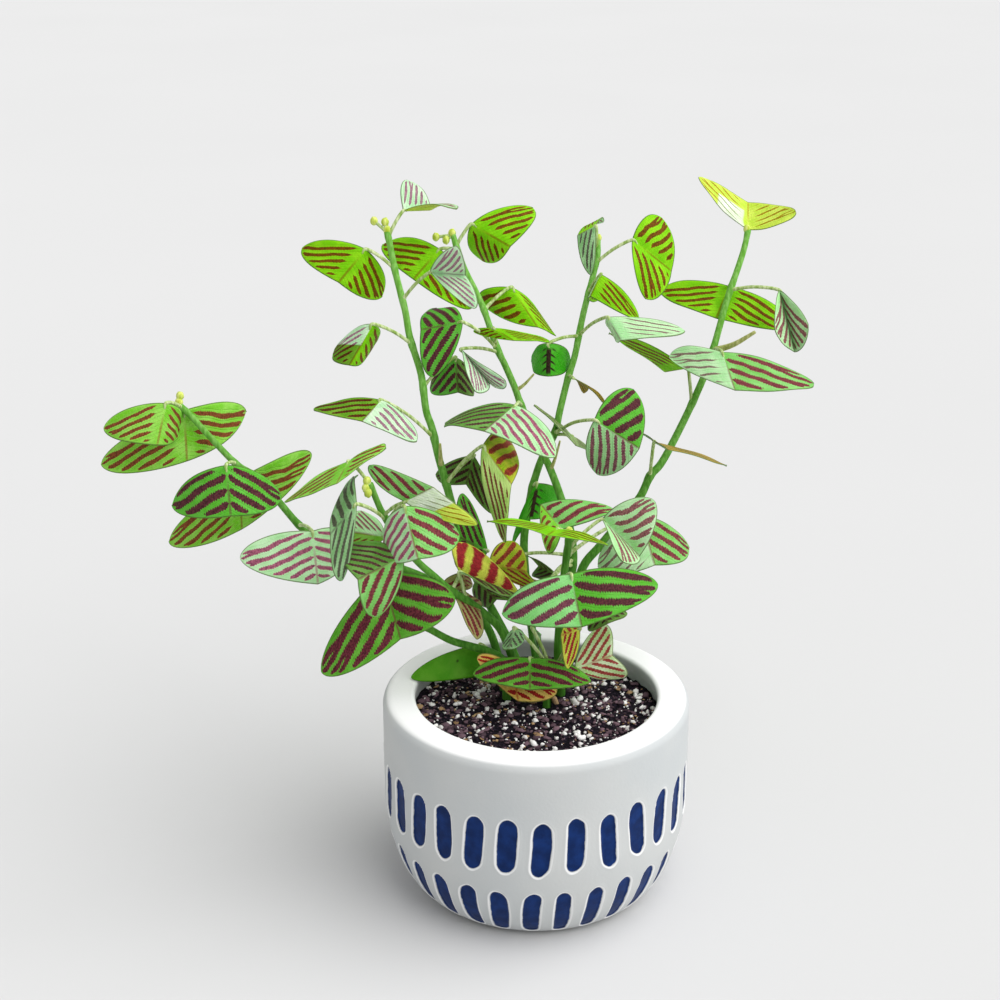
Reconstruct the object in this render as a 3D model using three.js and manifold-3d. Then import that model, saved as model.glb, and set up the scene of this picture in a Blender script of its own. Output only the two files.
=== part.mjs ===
// A potted swallowtail plant: leafy stems with butterfly-shaped leaves, standing in
// potting soil in a round-bellied ceramic pot with two rows of sunk dashes.
//
// Frame: millimetres, +Z up, origin at the centre of the pot's foot. The plant's
// best side looks towards -Y.

import * as THREE from 'three';
import { mergeVertices } from 'three/addons/utils/BufferGeometryUtils.js';
import Module from 'manifold-3d';

const wasm = await Module();
wasm.setup();

// ---------------------------------------------------------------- driving sizes

const POT = {
  radius: 52.5, // outside, at the straight upper half
  height: 71,
  footRadius: 36, // the flat foot
  bellyHeight: 36, // below this the wall curves in to the foot
  bellyPower: 1.94, // 2 would be a quarter ellipse
  levels: [0, 1.6, 6, 16.5, 30.5], // where the belly's facets meet
  wall: 9.7, // at the soil's level
  lip: 1.4, // the rim's inner edge stands in by this much more
  rimRound: 3.4, // of the rim's outer edge
  lipRound: 1.6, // of its inner edge
  floor: 9,
  innerFoot: 30, // radius of the flat inside floor
  innerBelly: [38.8, 18], // radius and height of the bend above it
  sides: 58, // two for each dash
  turn: 1.2, // degrees from -Y to the middle of a flat
};

const DASH = {
  count: 29,
  halfTurn: 3.25, // half a dash's width, in degrees round the pot
  depth: 0.7,
  endShare: 0.5, // width of a dash's end, of its full width
  cutterOut: 1.5, // how far its cutter stands out of the wall
  // a row's first dash stands this many flats from the middle one; its levels are
  // shares of its height, closer together at the rounded ends
  rows: [
    { top: 50.5, bottom: 30.7, flat: 0, levels: [0, 0.14, 0.86, 1] },
    { top: 23, bottom: 3.2, flat: -0.6, levels: [0, 0.16, 0.84, 1] },
  ],
};

const SOIL = {
  belowRim: 7.7,
  clearance: 0.3, // to the pot's wall and floor
  lump: 0.9, // height of the lumps of its surface
  calm: [20, 3, 17], // it is flat within this radius of [x, y], where the stems stand
  rings: 4,
  sides: 30,
};

const STEM = {
  buried: 22, // how deep a stem stands in the soil
  straight: 5, // upright stretch above the soil's mean level
  holeClearance: 0.4,
  holeSides: 8,
  sides: 6,
  step: 20, // length of one segment
  unseen: 60, // steps of the sheet from a route's low end down to the soil
};

// A stalk bows up by a share of its length, and runs on into its blade by a share of
// the midrib; a twig sags by a share of its length and thins towards its end.
const STALK = { radius: 0.9, sides: 3, segments: 3, rise: 0.06, intoBlade: 0.14 };
const TWIG = { radius: 0.9, sides: 3, segments: 2, sag: 0.06, endShare: 0.6 };
const BUD = { radius: 2, detail: 0 };

// One blade. Its half outline runs from the joint (0, 0) to a wing tip (1, tipShare)
// and back to the far end of the midrib (0, 1): first number along the wing, second
// along the midrib, both as shares of the wing's and the midrib's length.
const BLADE = {
  thickness: 0.74,
  tipShare: 0.59,
  nearPowers: [1.8, 0.6],
  farPowers: [2.2, 0.55],
  farBulge: 0.4,
  midribLength: 0.66, // of the reach from joint to wing tip
  wingLength: 0.93, // of the same reach, square to the midrib
  arch: 0.1, // how far a wing arches, of its length, unless the leaf's row says
  columns: [0, 0.32, 0.62, 0.87],
  smallColumns: [0, 0.45, 0.82], // of a blade under the small reach
  smallReach: 20,
};

// ------------------------------------------------------------- setting-out sheet
//
// The stems and leaves are set out on one perspective sheet, as a gardener's drawing
// of the plant from a little above. A point of the sheet has a step across and a step
// down; "away" is the distance in millimetres behind the sheet's plane, which goes
// through the centre of the pot's rim, square to the line of sight.

const SHEET = {
  stepsPerRadian: 1800,
  middle: [500, 500], // where the line of sight meets the sheet
  rimCentre: [536, 690.5],
  eyeDistance: 617.6, // from the eye to the sheet's plane
  lookDown: THREE.MathUtils.degToRad(21),
};

const sightLine = new THREE.Vector3(0, Math.cos(SHEET.lookDown), -Math.sin(SHEET.lookDown));
const sheetUp = new THREE.Vector3(0, Math.sin(SHEET.lookDown), Math.cos(SHEET.lookDown));
const sheetRight = new THREE.Vector3(1, 0, 0);

function sightTo(across, down) {
  return sightLine
    .clone()
    .addScaledVector(sheetRight, (across - SHEET.middle[0]) / SHEET.stepsPerRadian)
    .addScaledVector(sheetUp, (SHEET.middle[1] - down) / SHEET.stepsPerRadian);
}

const eye = new THREE.Vector3(0, 0, POT.height).addScaledVector(
  sightTo(...SHEET.rimCentre),
  -SHEET.eyeDistance,
);

function at(across, down, away) {
  return eye.clone().addScaledVector(sightTo(across, down), SHEET.eyeDistance + away);
}

function awayOf(point) {
  return point.clone().sub(eye).dot(sightLine) - SHEET.eyeDistance;
}

// ------------------------------------------------------------------ stem sheets
//
// Each stem: foot on the soil [x, y] in millimetres, its route from the top down on
// the sheet, how far its top lies away, its thickness at the foot and at the top, and
// its leaves, twigs and buds.
//
// A leaf's row: where its stalk leaves the stem; the joint of stalk and blade, with
// its distance away; the far end of the midrib; the two wing tips; and the reach from
// joint to wing tip in millimetres. The third number of the midrib's end and of a tip
// is its lean: -1 leans fully towards the eye, 1 fully away, 0 lies in the sheet. A
// last number, where there is one, is the leaf's own arch.
//
// A twig's row: where it leaves the stem; its end, with its distance away; and its
// thickness, as a share of the usual one. A bud's row is its place on the sheet.

const STEMS = [
  {
    name: 'stem_left_tall',
    foot: [-5, 20],
    topAway: 8,
    radius: [1.75, 1.15],
    route: [
      [387, 232], [390, 245], [396, 275], [405, 310], [410, 338], [421, 374], [426, 410],
      [432, 428], [438, 455], [446, 483], [455, 515], [468, 555], [482, 590], [495, 615],
      [508, 640],
    ],
    leaves: [
      [[393, 269], [366, 249, 8], [338, 283, -0.5], [302, 248, 0.5], [382, 296, 0.8], 23],
      [[392, 236], [403, 211, 8], [432, 210, 0.6], [407, 180, 0.5], [457, 208, -0.9], 18],
      [[405, 299], [430, 272, 2], [466, 275, -0.5], [455, 246, -0.7], [474, 309, -0.5], 20],
      [[411, 344], [373, 324, 2], [349, 366, -0.5], [335, 350, 0.6], [372, 348, 0.8], 18],
      [[432, 438], [382, 400, 2], [362, 422, -0.8], [314, 409, 0.5], [417, 441, -0.6], 25, 0.05],
      [[424, 387], [455, 357, 16], [458, 393, -0.3], [430, 388, 0.8], [474, 390, 0.8], 18],
      [[448, 483], [474, 455, 17], [466, 485, 0.3], [436, 475, 0.5], [495, 512, 0.5], 24],
      [[448, 483], [482, 446, -2], [512, 485, -0.6], [508, 441, 0.9], [503, 541, -0.2], 33],
      [[470, 560], [488, 551, 3], [458, 536, 0.3], [464, 494, 0.4], [462, 572, 0.6], 22],
      [[478, 580], [476, 580, 7], [497, 600, 0.3], [515, 598, 0.4], [480, 604, 0.8], 15],
    ],
    twigs: [[[443, 465], [440, 444, 4], 1.4]],
    buds: [[374, 221], [385, 222], [387, 230]],
  },
  {
    name: 'stem_centre_left',
    foot: [7, 19],
    topAway: 20,
    radius: [1.7, 1.1],
    route: [
      [453, 235], [457, 248], [465, 270], [475, 290], [484, 310], [497, 348], [505, 365],
      [515, 388], [521, 405], [533, 432], [545, 458], [549, 466], [555, 481], [560, 495],
      [568, 520], [573, 550], [570, 590], [565, 630],
    ],
    leaves: [
      [[457, 250], [440, 249, 21], [413, 280, -0.3], [383, 244, 0.6], [472, 308, 0.8], 24],
      [[458, 245], [471, 224, 19], [511, 247, 0.4], [533, 208, 0.5], [482, 261, 0.6], 23],
      [[487, 309], [511, 287, 23], [538, 328, -0.3], [481, 303, 0.4], [552, 333, 0.4], 28],
      [[497, 345], [493, 328, 9], [514, 341, -0.9], [475, 333, 0.8], [549, 341, 0.3], 17, 0.03],
      [[497, 348], [463, 322, 7], [420, 330, -0.4], [433, 377, 0.5], [437, 309, 0.9], 20],
      [[499, 352], [461, 349, 13], [490, 384, -0.3], [505, 381, -0.4], [474, 390, -0.5], 19],
      [[521, 405], [516, 405, 3], [484, 432, -0.7], [445, 424, 0.6], [555, 457, -0.5], 28],
      [[571, 555], [489, 564, -8], [528, 572, -0.3], [512, 541, 0.4], [538, 591, 0.4], 20],
      [[571, 560], [546, 585, -7], [520, 580, 0.3], [503, 571, 0.3], [530, 592, 0.8], 18],
      [[571, 565], [556, 574, 1], [538, 566, 0.3], [527, 556, 0.4], [535, 577, 0.8], 15],
    ],
    twigs: [[[551, 470], [560, 441, 10], 1], [[518, 390], [534, 374, 16], 1]],
    buds: [[436, 237], [452, 233], [446, 240]],
  },
  {
    name: 'stem_centre_right',
    foot: [1, 25],
    topAway: 28,
    radius: [1.7, 1.1],
    route: [
      [598, 240], [597, 258], [592, 280], [583, 315], [575, 355], [568, 378], [560, 410],
      [555, 432], [542, 458], [535, 478], [531, 494], [528, 511], [524, 541], [526, 580],
      [532, 630],
    ],
    leaves: [
      [[597, 252], [596, 226, 26], [577, 236, 0.3], [591, 275, -0.3], [603, 222, 0.9], 17],
      [[587, 292], [601, 274, 18], [590, 297, -0.3], [598, 300, 0.9], [639, 319, 0.5], 18],
      [[580, 335], [607, 317, 12], [621, 341, -0.4], [685, 331, 0.3], [615, 336, 0.9], 26, 0.04],
      [[594, 262], [632, 240, 24], [672, 272, 0.5], [662, 218, 0.5], [646, 299, -0.4], 22],
      [[556, 434], [594, 420, 4], [640, 449, -0.6], [634, 390, 0.5], [597, 474, 0.6], 22],
      [[579, 336], [549, 343, 20], [548, 377, -0.3], [532, 362, 0.9], [570, 362, 0.9], 16],
      [[556, 436], [572, 436, 28], [576, 446, -0.9], [534, 405, 0.5], [591, 452, 0.8], 21, 0.03],
      [[569, 376], [573, 378, 22], [588, 386, 0.6], [604, 403, 0.6], [584, 393, 0.9], 13],
      [[533, 487], [537, 483, 22], [530, 520, 0.3], [512, 545, 0.4], [560, 500, 0.6], 24],
    ],
    twigs: [],
    buds: [[598, 238]],
  },
  {
    name: 'stem_right_tall',
    foot: [12, 25],
    topAway: 38,
    radius: [1.85, 1.15],
    route: [
      [748, 230], [745, 245], [740, 262], [727, 300], [720, 325], [713, 350], [706, 372],
      [689, 410], [671, 446], [660, 465], [650, 476], [640, 497], [620, 522], [600, 546],
      [583, 567], [575, 600], [571, 640],
    ],
    leaves: [
      [[735, 288], [729, 286, 42], [716, 319, -0.4], [659, 290, 0.5], [797, 329, 0.6], 27, 0.05],
      [[732, 290], [779, 290, 30], [795, 353, -0.3], [775, 330, -0.4], [808, 325, -0.4], 26],
      [[748, 232], [748, 230, 38], [748, 202, 0.8], [699, 177, 0.4], [796, 212, -0.7], 24, -0.03],
      [[713, 350], [722, 352, 22], [735, 391, -0.7], [669, 357, 0.7], [814, 384, 0.2], 33, 0.03],
      [[690, 403], [688, 368, 32], [664, 372, 0.8], [609, 333, 0.3], [700, 368, 0.9], 28, 0.04],
      [[651, 477], [654, 442, 16], [668, 450, -0.9], [727, 465, 0.2], [640, 434, 0.9], 26, 0.02],
    ],
    twigs: [[[713, 351], [755, 332, 24], 1.8]],
    buds: [[747, 229]],
  },
  {
    name: 'stem_left_low',
    foot: [-11, 16],
    topAway: -12,
    radius: [1.6, 1.1],
    route: [
      [180, 406], [190, 415], [210, 437], [235, 463], [250, 473], [268, 489], [280, 503],
      [299, 525], [318, 540], [350, 555], [400, 568], [440, 585], [470, 606], [490, 632],
    ],
    leaves: [
      [[180, 408], [166, 403, -22], [157, 446, -0.4], [104, 428, 0.4], [180, 428, 0.8], 23],
      [[184, 411], [184, 410, -10], [187, 462, 0.3], [101, 464, 0.2], [246, 412, 0.6], 33],
      [[235, 463], [226, 465, -18], [231, 517, -0.3], [173, 505, 0.5], [281, 497, 0.5], 27],
      [[252, 474], [240, 478, 0], [242, 530, 0.4], [169, 541, 0.4], [312, 455, 0.4], 33],
      [[299, 525], [312, 531, -14], [318, 585, -0.4], [240, 558, -0.4], [352, 545, 0.6], 28],
    ],
    twigs: [],
    buds: [[180, 396], [179, 402]],
  },
  {
    name: 'stem_left_middle',
    foot: [-5, 11],
    topAway: -36,
    radius: [1.6, 1.1],
    route: [
      [370, 484], [380, 508], [385, 517], [400, 541], [418, 562], [435, 577], [450, 590],
      [466, 600], [485, 614], [503, 634],
    ],
    leaves: [
      [[370, 486], [349, 461, -32], [337, 484, -0.9], [285, 502, 0.4], [386, 447, 0.7], 25, 0.03],
      [[386, 520], [357, 504, -40], [330, 535, 0.3], [355, 477, 0.8], [343, 580, 0.3], 27],
      [[384, 515], [405, 502, -38], [434, 487, -0.3], [370, 465, 0.5], [477, 525, -0.3], 27],
      [[388, 521], [404, 506, -48], [418, 560, -0.3], [385, 549, 0.8], [459, 535, 0.5], 24],
      [[404, 546], [404, 556, -40], [357, 580, -0.3], [346, 545, 0.7], [378, 616, 0.4], 25],
      [[392, 530], [386, 537, -26], [352, 532, 0.3], [362, 511, 0.5], [345, 549, 0.7], 17],
      [[466, 600], [459, 572, -13], [522, 597, 0.1], [466, 543, 0.3], [499, 594, -0.4], 26],
      [[452, 592], [455, 597, -10], [481, 612, 0.5], [476, 639, -0.3], [470, 596, 0.9], 17],
      [[452, 591], [462, 572, -6], [468, 590, 0.3], [443, 585, 0.4], [470, 580, 0.9], 10],
    ],
    twigs: [],
    buds: [[367, 481], [366, 488], [368, 493]],
  },
  {
    name: 'stem_left_basal',
    foot: [-10, 9],
    topAway: -4,
    radius: [1.7, 1.3],
    route: [[426, 627], [450, 640], [470, 646], [490, 652], [503, 662]],
    leaves: [
      [[426, 627], [382, 574, -14], [401, 640, -0.2], [321, 671, -0.1], [455, 597, -0.1], 34],
      [[500, 660], [480, 644, 10], [478, 677, -0.2], [411, 677, -0.4], [499, 668, 0.2], 26],
    ],
    twigs: [],
    buds: [],
  },
  {
    name: 'stem_front_short',
    foot: [9, 12],
    topAway: -12,
    radius: [1.7, 1.2],
    route: [
      [569, 533], [568, 545], [566, 560], [564, 575], [561, 600], [559, 630], [558, 655],
    ],
    leaves: [
      [[569, 535], [558, 529, -14], [547, 536, -0.9], [487, 521, 0.1], [608, 546, 0.5], 22, 0.05],
      [[568, 540], [562, 530, -2], [540, 504, 0.6], [613, 509, 0.3], [547, 552, -0.4], 24],
      [[567, 550], [602, 519, -10], [640, 557, -0.4], [654, 500, -0.4], [622, 561, -0.5], 22],
      [[566, 555], [640, 516, 6], [655, 566, -0.3], [598, 566, 0.4], [689, 548, 0.4], 26],
      [[563, 585], [571, 574, -28], [582, 628, -0.4], [502, 613, 0.5], [658, 585, 0.3], 33],
      [[562, 600], [600, 606, -10], [608, 624, -0.7], [627, 613, 0.5], [588, 630, 0.5], 14],
    ],
    twigs: [],
    buds: [[569, 531]],
  },
  {
    name: 'stem_basal',
    foot: [4, 3],
    topAway: 3,
    radius: [1.7, 1.4],
    route: [[552, 672], [554, 686]],
    leaves: [
      [[552, 676], [530, 658, -4], [530, 691, -0.6], [473, 674, 0.3], [591, 681, 0.3], 22],
      [[553, 686], [512, 664, -2], [518, 702, -0.4], [477, 659, -0.2], [557, 690, 0.3], 19],
      [[552, 672], [515, 628, -10], [508, 650, 0.2], [503, 644, 0.2], [524, 640, 0.3], 10],
      [[552, 672], [532, 628, 0], [541, 636, 0.5], [537, 648, 0.3], [536, 634, 0.9], 8],
      [[553, 674], [580, 629, -9], [560, 636, -0.3], [568, 669, -0.3], [572, 618, 0.3], 16],
      [[554, 684], [574, 669, -6], [613, 655, 0.3], [602, 624, 0.3], [623, 678, 0.3], 19],
    ],
    twigs: [],
    buds: [],
  },
];

const soilLevel = POT.height - SOIL.belowRim;

// ----------------------------------------------------------------- solid helpers

function toSolid(geometry) {
  const bare = geometry.clone();
  bare.deleteAttribute('normal');
  bare.deleteAttribute('uv');
  const merged = mergeVertices(bare, 1e-4);
  const triVerts = Uint32Array.from(merged.index.array);
  const vertProperties = Float32Array.from(merged.attributes.position.array);
  return new wasm.Manifold(new wasm.Mesh({ numProp: 3, vertProperties, triVerts }));
}

function toGeometry(solid) {
  const mesh = solid.getMesh();
  const geometry = new THREE.BufferGeometry();
  geometry.setAttribute('position', new THREE.BufferAttribute(mesh.vertProperties, 3));
  geometry.setIndex(new THREE.BufferAttribute(mesh.triVerts, 1));
  geometry.computeVertexNormals();
  return geometry;
}

// A closed body from points and triangles, turned right side out.
function closedGeometry(points, triangles) {
  let sixVolumes = 0;
  for (const [a, b, c] of triangles) {
    sixVolumes += points[a].dot(points[b].clone().cross(points[c]));
  }
  const index = triangles.flatMap(([a, b, c]) => (sixVolumes > 0 ? [a, b, c] : [a, c, b]));
  const geometry = new THREE.BufferGeometry().setFromPoints(points);
  geometry.setIndex(index);
  return geometry;
}

// Joins solids into one body, without the specks that touching faces can leave.
function joinAll(solids) {
  const whole = solids.reduce((sum, piece) => sum.add(piece));
  const bodies = whole.decompose().sort((a, b) => b.volume() - a.volume());
  return bodies[0];
}

// A round bar along a row of points, its radius changing evenly from end to end.
function bar(centres, startRadius, endRadius, sides) {
  const points = [];
  const triangles = [];
  const segments = centres.length - 1;
  const overall = centres[segments].clone().sub(centres[0]);
  const level = Math.abs(overall.y) > Math.abs(overall.x) + Math.abs(overall.z);
  const reference = level ? new THREE.Vector3(0, 0, 1) : new THREE.Vector3(0, 1, 0);
  centres.forEach((centre, i) => {
    const before = centres[Math.max(i - 1, 0)];
    const after = centres[Math.min(i + 1, segments)];
    const along = after.clone().sub(before).normalize();
    const across = along.clone().cross(reference).normalize();
    const other = along.clone().cross(across);
    const radius = THREE.MathUtils.lerp(startRadius, endRadius, i / segments);
    for (let k = 0; k < sides; k += 1) {
      const turn = (2 * Math.PI * k) / sides;
      points.push(
        centre
          .clone()
          .addScaledVector(across, radius * Math.cos(turn))
          .addScaledVector(other, radius * Math.sin(turn)),
      );
    }
  });
  for (let i = 0; i < segments; i += 1) {
    for (let k = 0; k < sides; k += 1) {
      const a = i * sides + k;
      const b = i * sides + ((k + 1) % sides);
      triangles.push([a, b, a + sides], [b, b + sides, a + sides]);
    }
  }
  const last = segments * sides;
  for (let k = 1; k < sides - 1; k += 1) {
    triangles.push([0, k + 1, k], [last, last + k, last + k + 1]);
  }
  return toSolid(closedGeometry(points, triangles));
}

// --------------------------------------------------------------------------- pot

// Outside radius of the pot's wall at a height.
function potRadius(height) {
  if (height >= POT.bellyHeight) {
    return POT.radius;
  }
  const down = 1 - height / POT.bellyHeight;
  const share = (1 - down ** POT.bellyPower) ** (1 / POT.bellyPower);
  return POT.footRadius + (POT.radius - POT.footRadius) * share;
}

// Part of a circle on the pot's rim, from its centre's radius, its own radius and turns.
function quarterRound(middle, round, degrees) {
  return degrees.map((step) => {
    const turn = THREE.MathUtils.degToRad(step);
    return [middle + round * Math.cos(turn), POT.height - round + round * Math.sin(turn)];
  });
}

function potProfile() {
  const profile = [[0, 0]];
  for (const height of POT.levels) {
    profile.push([potRadius(height), height]);
  }
  profile.push(...quarterRound(POT.radius - POT.rimRound, POT.rimRound, [0, 30, 60, 90]));
  profile.push([0, POT.height]);
  return profile;
}

// The space inside the pot, a little taller than the pot.
function cavityProfile() {
  const inner = POT.radius - POT.wall;
  const lip = inner - POT.lip + POT.lipRound;
  return [
    [0, POT.floor],
    [POT.innerFoot, POT.floor],
    POT.innerBelly,
    [inner, POT.bellyHeight],
    [inner, soilLevel + POT.lip + POT.lipRound],
    ...quarterRound(lip, POT.lipRound, [180, 135, 98]),
    [lip, POT.height + 1],
    [0, POT.height + 1],
  ];
}

function turned(profile, sides) {
  const points = profile.map(([radius, height]) => new THREE.Vector2(radius, height));
  const geometry = new THREE.LatheGeometry(points, sides);
  geometry.rotateX(Math.PI / 2); // the lathe turns about Y; stand it on Z
  geometry.rotateZ(THREE.MathUtils.degToRad(POT.turn + 180 / sides));
  return toSolid(geometry);
}

// The body of one dash, straddling the wall's surface, to be cut out of the pot.
function dashCutter(row, turn) {
  const points = [];
  const triangles = [];
  const count = row.levels.length;
  const long = row.top - row.bottom;
  for (const out of [DASH.cutterOut, -DASH.depth]) {
    for (const level of row.levels) {
      const height = row.bottom + long * level;
      const tilt = Math.atan(potRadius(height + 0.5) - potRadius(height - 0.5));
      const radius = potRadius(height) + out * Math.cos(tilt);
      const half = DASH.halfTurn * (level === 0 || level === 1 ? DASH.endShare : 1);
      for (const side of [-1, 1]) {
        const angle = turn + side * THREE.MathUtils.degToRad(half);
        points.push(
          new THREE.Vector3(
            radius * Math.sin(angle),
            -radius * Math.cos(angle),
            height - out * Math.sin(tilt),
          ),
        );
      }
    }
  }
  const back = 2 * count;
  for (let i = 0; i < count - 1; i += 1) {
    const a = 2 * i;
    triangles.push([a, a + 1, a + 2], [a + 1, a + 3, a + 2]);
    triangles.push([back + a, back + a + 2, back + a + 1]);
    triangles.push([back + a + 1, back + a + 2, back + a + 3]);
    triangles.push([a, a + 2, back + a], [a + 2, back + a + 2, back + a]);
    triangles.push([a + 1, back + a + 1, a + 3], [a + 3, back + a + 1, back + a + 3]);
  }
  const top = 2 * (count - 1);
  triangles.push([0, back, 1], [1, back, back + 1]);
  triangles.push([top, top + 1, back + top], [top + 1, back + top + 1, back + top]);
  return toSolid(closedGeometry(points, triangles));
}

function makePot() {
  let pot = turned(potProfile(), POT.sides).subtract(turned(cavityProfile(), SOIL.sides));
  for (const row of DASH.rows) {
    for (let k = 0; k < DASH.count; k += 1) {
      const flat = row.flat + 2 * k;
      const turn = THREE.MathUtils.degToRad(POT.turn + (360 * flat) / POT.sides);
      pot = pot.subtract(dashCutter(row, turn));
    }
  }
  return pot;
}

// -------------------------------------------------------------------------- soil

// Height of the soil's lumpy surface at a place; flat round the stems.
function soilHeight(x, y) {
  const [reach, calmX, calmY] = SOIL.calm;
  const broad = Math.sin(x * 0.55 + 1.3) * Math.cos(y * 0.62);
  const small = Math.sin(x * 1.1 - y * 0.9);
  const share = THREE.MathUtils.smoothstep(Math.hypot(x - calmX, y - calmY), reach, reach + 8);
  return soilLevel + SOIL.lump * (0.5 * broad + 0.3 * small) * share;
}

function makeSoil(holes) {
  const points = [];
  const triangles = [];
  const outer = POT.radius - POT.wall - SOIL.clearance;
  const bottom = POT.floor + SOIL.clearance;
  points.push(new THREE.Vector3(0, 0, soilHeight(0, 0)));
  const rings = [];
  for (let i = 1; i <= SOIL.rings; i += 1) {
    rings.push({ radius: (outer * i) / SOIL.rings, height: null });
  }
  rings.push({ radius: outer, height: POT.bellyHeight + 1 });
  rings.push({ radius: POT.innerBelly[0] - SOIL.clearance, height: POT.innerBelly[1] });
  rings.push({ radius: POT.innerFoot - SOIL.clearance, height: bottom });
  for (const ring of rings) {
    for (let k = 0; k < SOIL.sides; k += 1) {
      const turn = (2 * Math.PI * (k + 0.5)) / SOIL.sides + THREE.MathUtils.degToRad(POT.turn);
      const x = ring.radius * Math.sin(turn);
      const y = -ring.radius * Math.cos(turn);
      points.push(new THREE.Vector3(x, y, ring.height ?? soilHeight(x, y)));
    }
  }
  points.push(new THREE.Vector3(0, 0, bottom));
  for (let k = 0; k < SOIL.sides; k += 1) {
    const next = (k + 1) % SOIL.sides;
    triangles.push([0, 1 + k, 1 + next]);
    for (let i = 0; i < rings.length - 1; i += 1) {
      const a = 1 + i * SOIL.sides;
      const b = a + SOIL.sides;
      triangles.push([a + k, b + k, a + next], [a + next, b + k, b + next]);
    }
    const low = 1 + (rings.length - 1) * SOIL.sides;
    triangles.push([low + k, points.length - 1, low + next]);
  }
  const soil = toSolid(closedGeometry(points, triangles));
  return holes.reduce((body, hole) => body.subtract(hole), soil);
}

// ------------------------------------------------------------------------ blades

function nearMargin(share) {
  const [inner, outer] = BLADE.nearPowers;
  return BLADE.tipShare * (1 - (1 - share ** inner) ** outer);
}

function farMargin(share) {
  const [inner, outer] = BLADE.farPowers;
  return BLADE.tipShare + BLADE.farBulge * (1 - share ** inner) ** outer;
}

// The offset that brings a length seen short on the sheet to its true length.
function lean(seen, trueLength, amount) {
  return amount * Math.sqrt(Math.max(0, trueLength ** 2 - seen ** 2));
}

// The joint, the midrib and the two wings of a leaf, as points and vectors in space.
function bladeFrame([, joint, notch, tipA, tipB, reach]) {
  const start = at(...joint);
  const midribFlat = at(notch[0], notch[1], joint[2]).sub(start);
  const midribLean = lean(midribFlat.length(), reach * BLADE.midribLength, notch[2]);
  const midrib = at(notch[0], notch[1], joint[2] + midribLean).sub(start);
  const wings = [tipA, tipB].map((tip) => {
    const tipAway = joint[2] + BLADE.tipShare * midribLean;
    const flat = at(tip[0], tip[1], tipAway).sub(start).addScaledVector(midrib, -BLADE.tipShare);
    const wingLean = lean(flat.length(), reach * BLADE.wingLength, tip[2]);
    return at(tip[0], tip[1], tipAway + wingLean)
      .sub(start)
      .addScaledVector(midrib, -BLADE.tipShare);
  });
  return { start, midrib, wings };
}

function makeBlade(leaf) {
  const { start, midrib, wings } = bladeFrame(leaf);
  const normals = [
    wings[0].clone().cross(midrib).normalize(),
    midrib.clone().cross(wings[1]).normalize(),
  ];
  const middleNormal = normals[0].clone().add(normals[1]).normalize();
  // arched like a tent roof: the wings' middles stand up, whichever side that is
  const archSide = middleNormal.z < 0 ? -1 : 1;
  const columns = leaf[5] < BLADE.smallReach ? BLADE.smallColumns : BLADE.columns;
  const last = columns.length - 1;
  const points = [];
  const places = new Map();
  function put(column, edge, share, down) {
    const side = column < 0 ? 0 : 1;
    const normal = column === 0 ? middleNormal : normals[side];
    const height = archSide * (leaf[6] ?? BLADE.arch) * wings[side].length();
    const arch = 4 * height * share * (1 - share);
    const centre = start
      .clone()
      .addScaledVector(wings[side], share)
      .addScaledVector(midrib, down)
      .addScaledVector(normals[side], arch);
    places.set(`${column} ${edge}`, points.length);
    points.push(centre.clone().addScaledVector(normal, BLADE.thickness / 2));
    points.push(centre.clone().addScaledVector(normal, -BLADE.thickness / 2));
  }
  for (let column = -last; column <= last; column += 1) {
    const share = columns[Math.abs(column)];
    put(column, 'near', share, nearMargin(share));
    put(column, 'far', share, farMargin(share));
  }
  put(-last - 1, 'tip', 1, BLADE.tipShare);
  put(last + 1, 'tip', 1, BLADE.tipShare);
  const place = (column, edge) => places.get(`${column} ${edge}`);
  const triangles = [];
  function face(a, b, c) {
    triangles.push([a, b, c], [a + 1, c + 1, b + 1]);
  }
  for (let column = -last; column < last; column += 1) {
    face(place(column, 'near'), place(column + 1, 'near'), place(column + 1, 'far'));
    face(place(column, 'near'), place(column + 1, 'far'), place(column, 'far'));
  }
  const leftTip = place(-last - 1, 'tip');
  const rightTip = place(last + 1, 'tip');
  face(leftTip, place(-last, 'near'), place(-last, 'far'));
  face(place(last, 'near'), rightTip, place(last, 'far'));
  const outline = [leftTip];
  for (let column = -last; column <= last; column += 1) {
    outline.push(place(column, 'near'));
  }
  outline.push(rightTip);
  for (let column = last; column >= -last; column -= 1) {
    outline.push(place(column, 'far'));
  }
  outline.forEach((from, i) => {
    const to = outline[(i + 1) % outline.length];
    triangles.push([from, from + 1, to], [to, from + 1, to + 1]);
  });
  return toSolid(closedGeometry(points, triangles));
}

// ------------------------------------------------------------------------- stems

// A stem's centre line, from its buried end up to its top, with the sheet's points.
function stemLine(stem) {
  const [x, y] = stem.foot;
  const ground = new THREE.Vector3(x, y, soilLevel + STEM.straight);
  const groundAway = awayOf(ground);
  const rising = [...stem.route].reverse();
  const lengths = [0];
  rising.forEach((point, i) => {
    if (i > 0) {
      const before = rising[i - 1];
      lengths.push(lengths[i - 1] + Math.hypot(point[0] - before[0], point[1] - before[1]));
    }
  });
  const whole = lengths[lengths.length - 1] + STEM.unseen;
  const above = rising.map(([across, down], i) => {
    const share = (lengths[i] + STEM.unseen) / whole;
    return at(across, down, THREE.MathUtils.lerp(groundAway, stem.topAway, share));
  });
  const buried = new THREE.Vector3(x, y, soilLevel - STEM.buried);
  return { buried, ground, above, rising };
}

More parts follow.
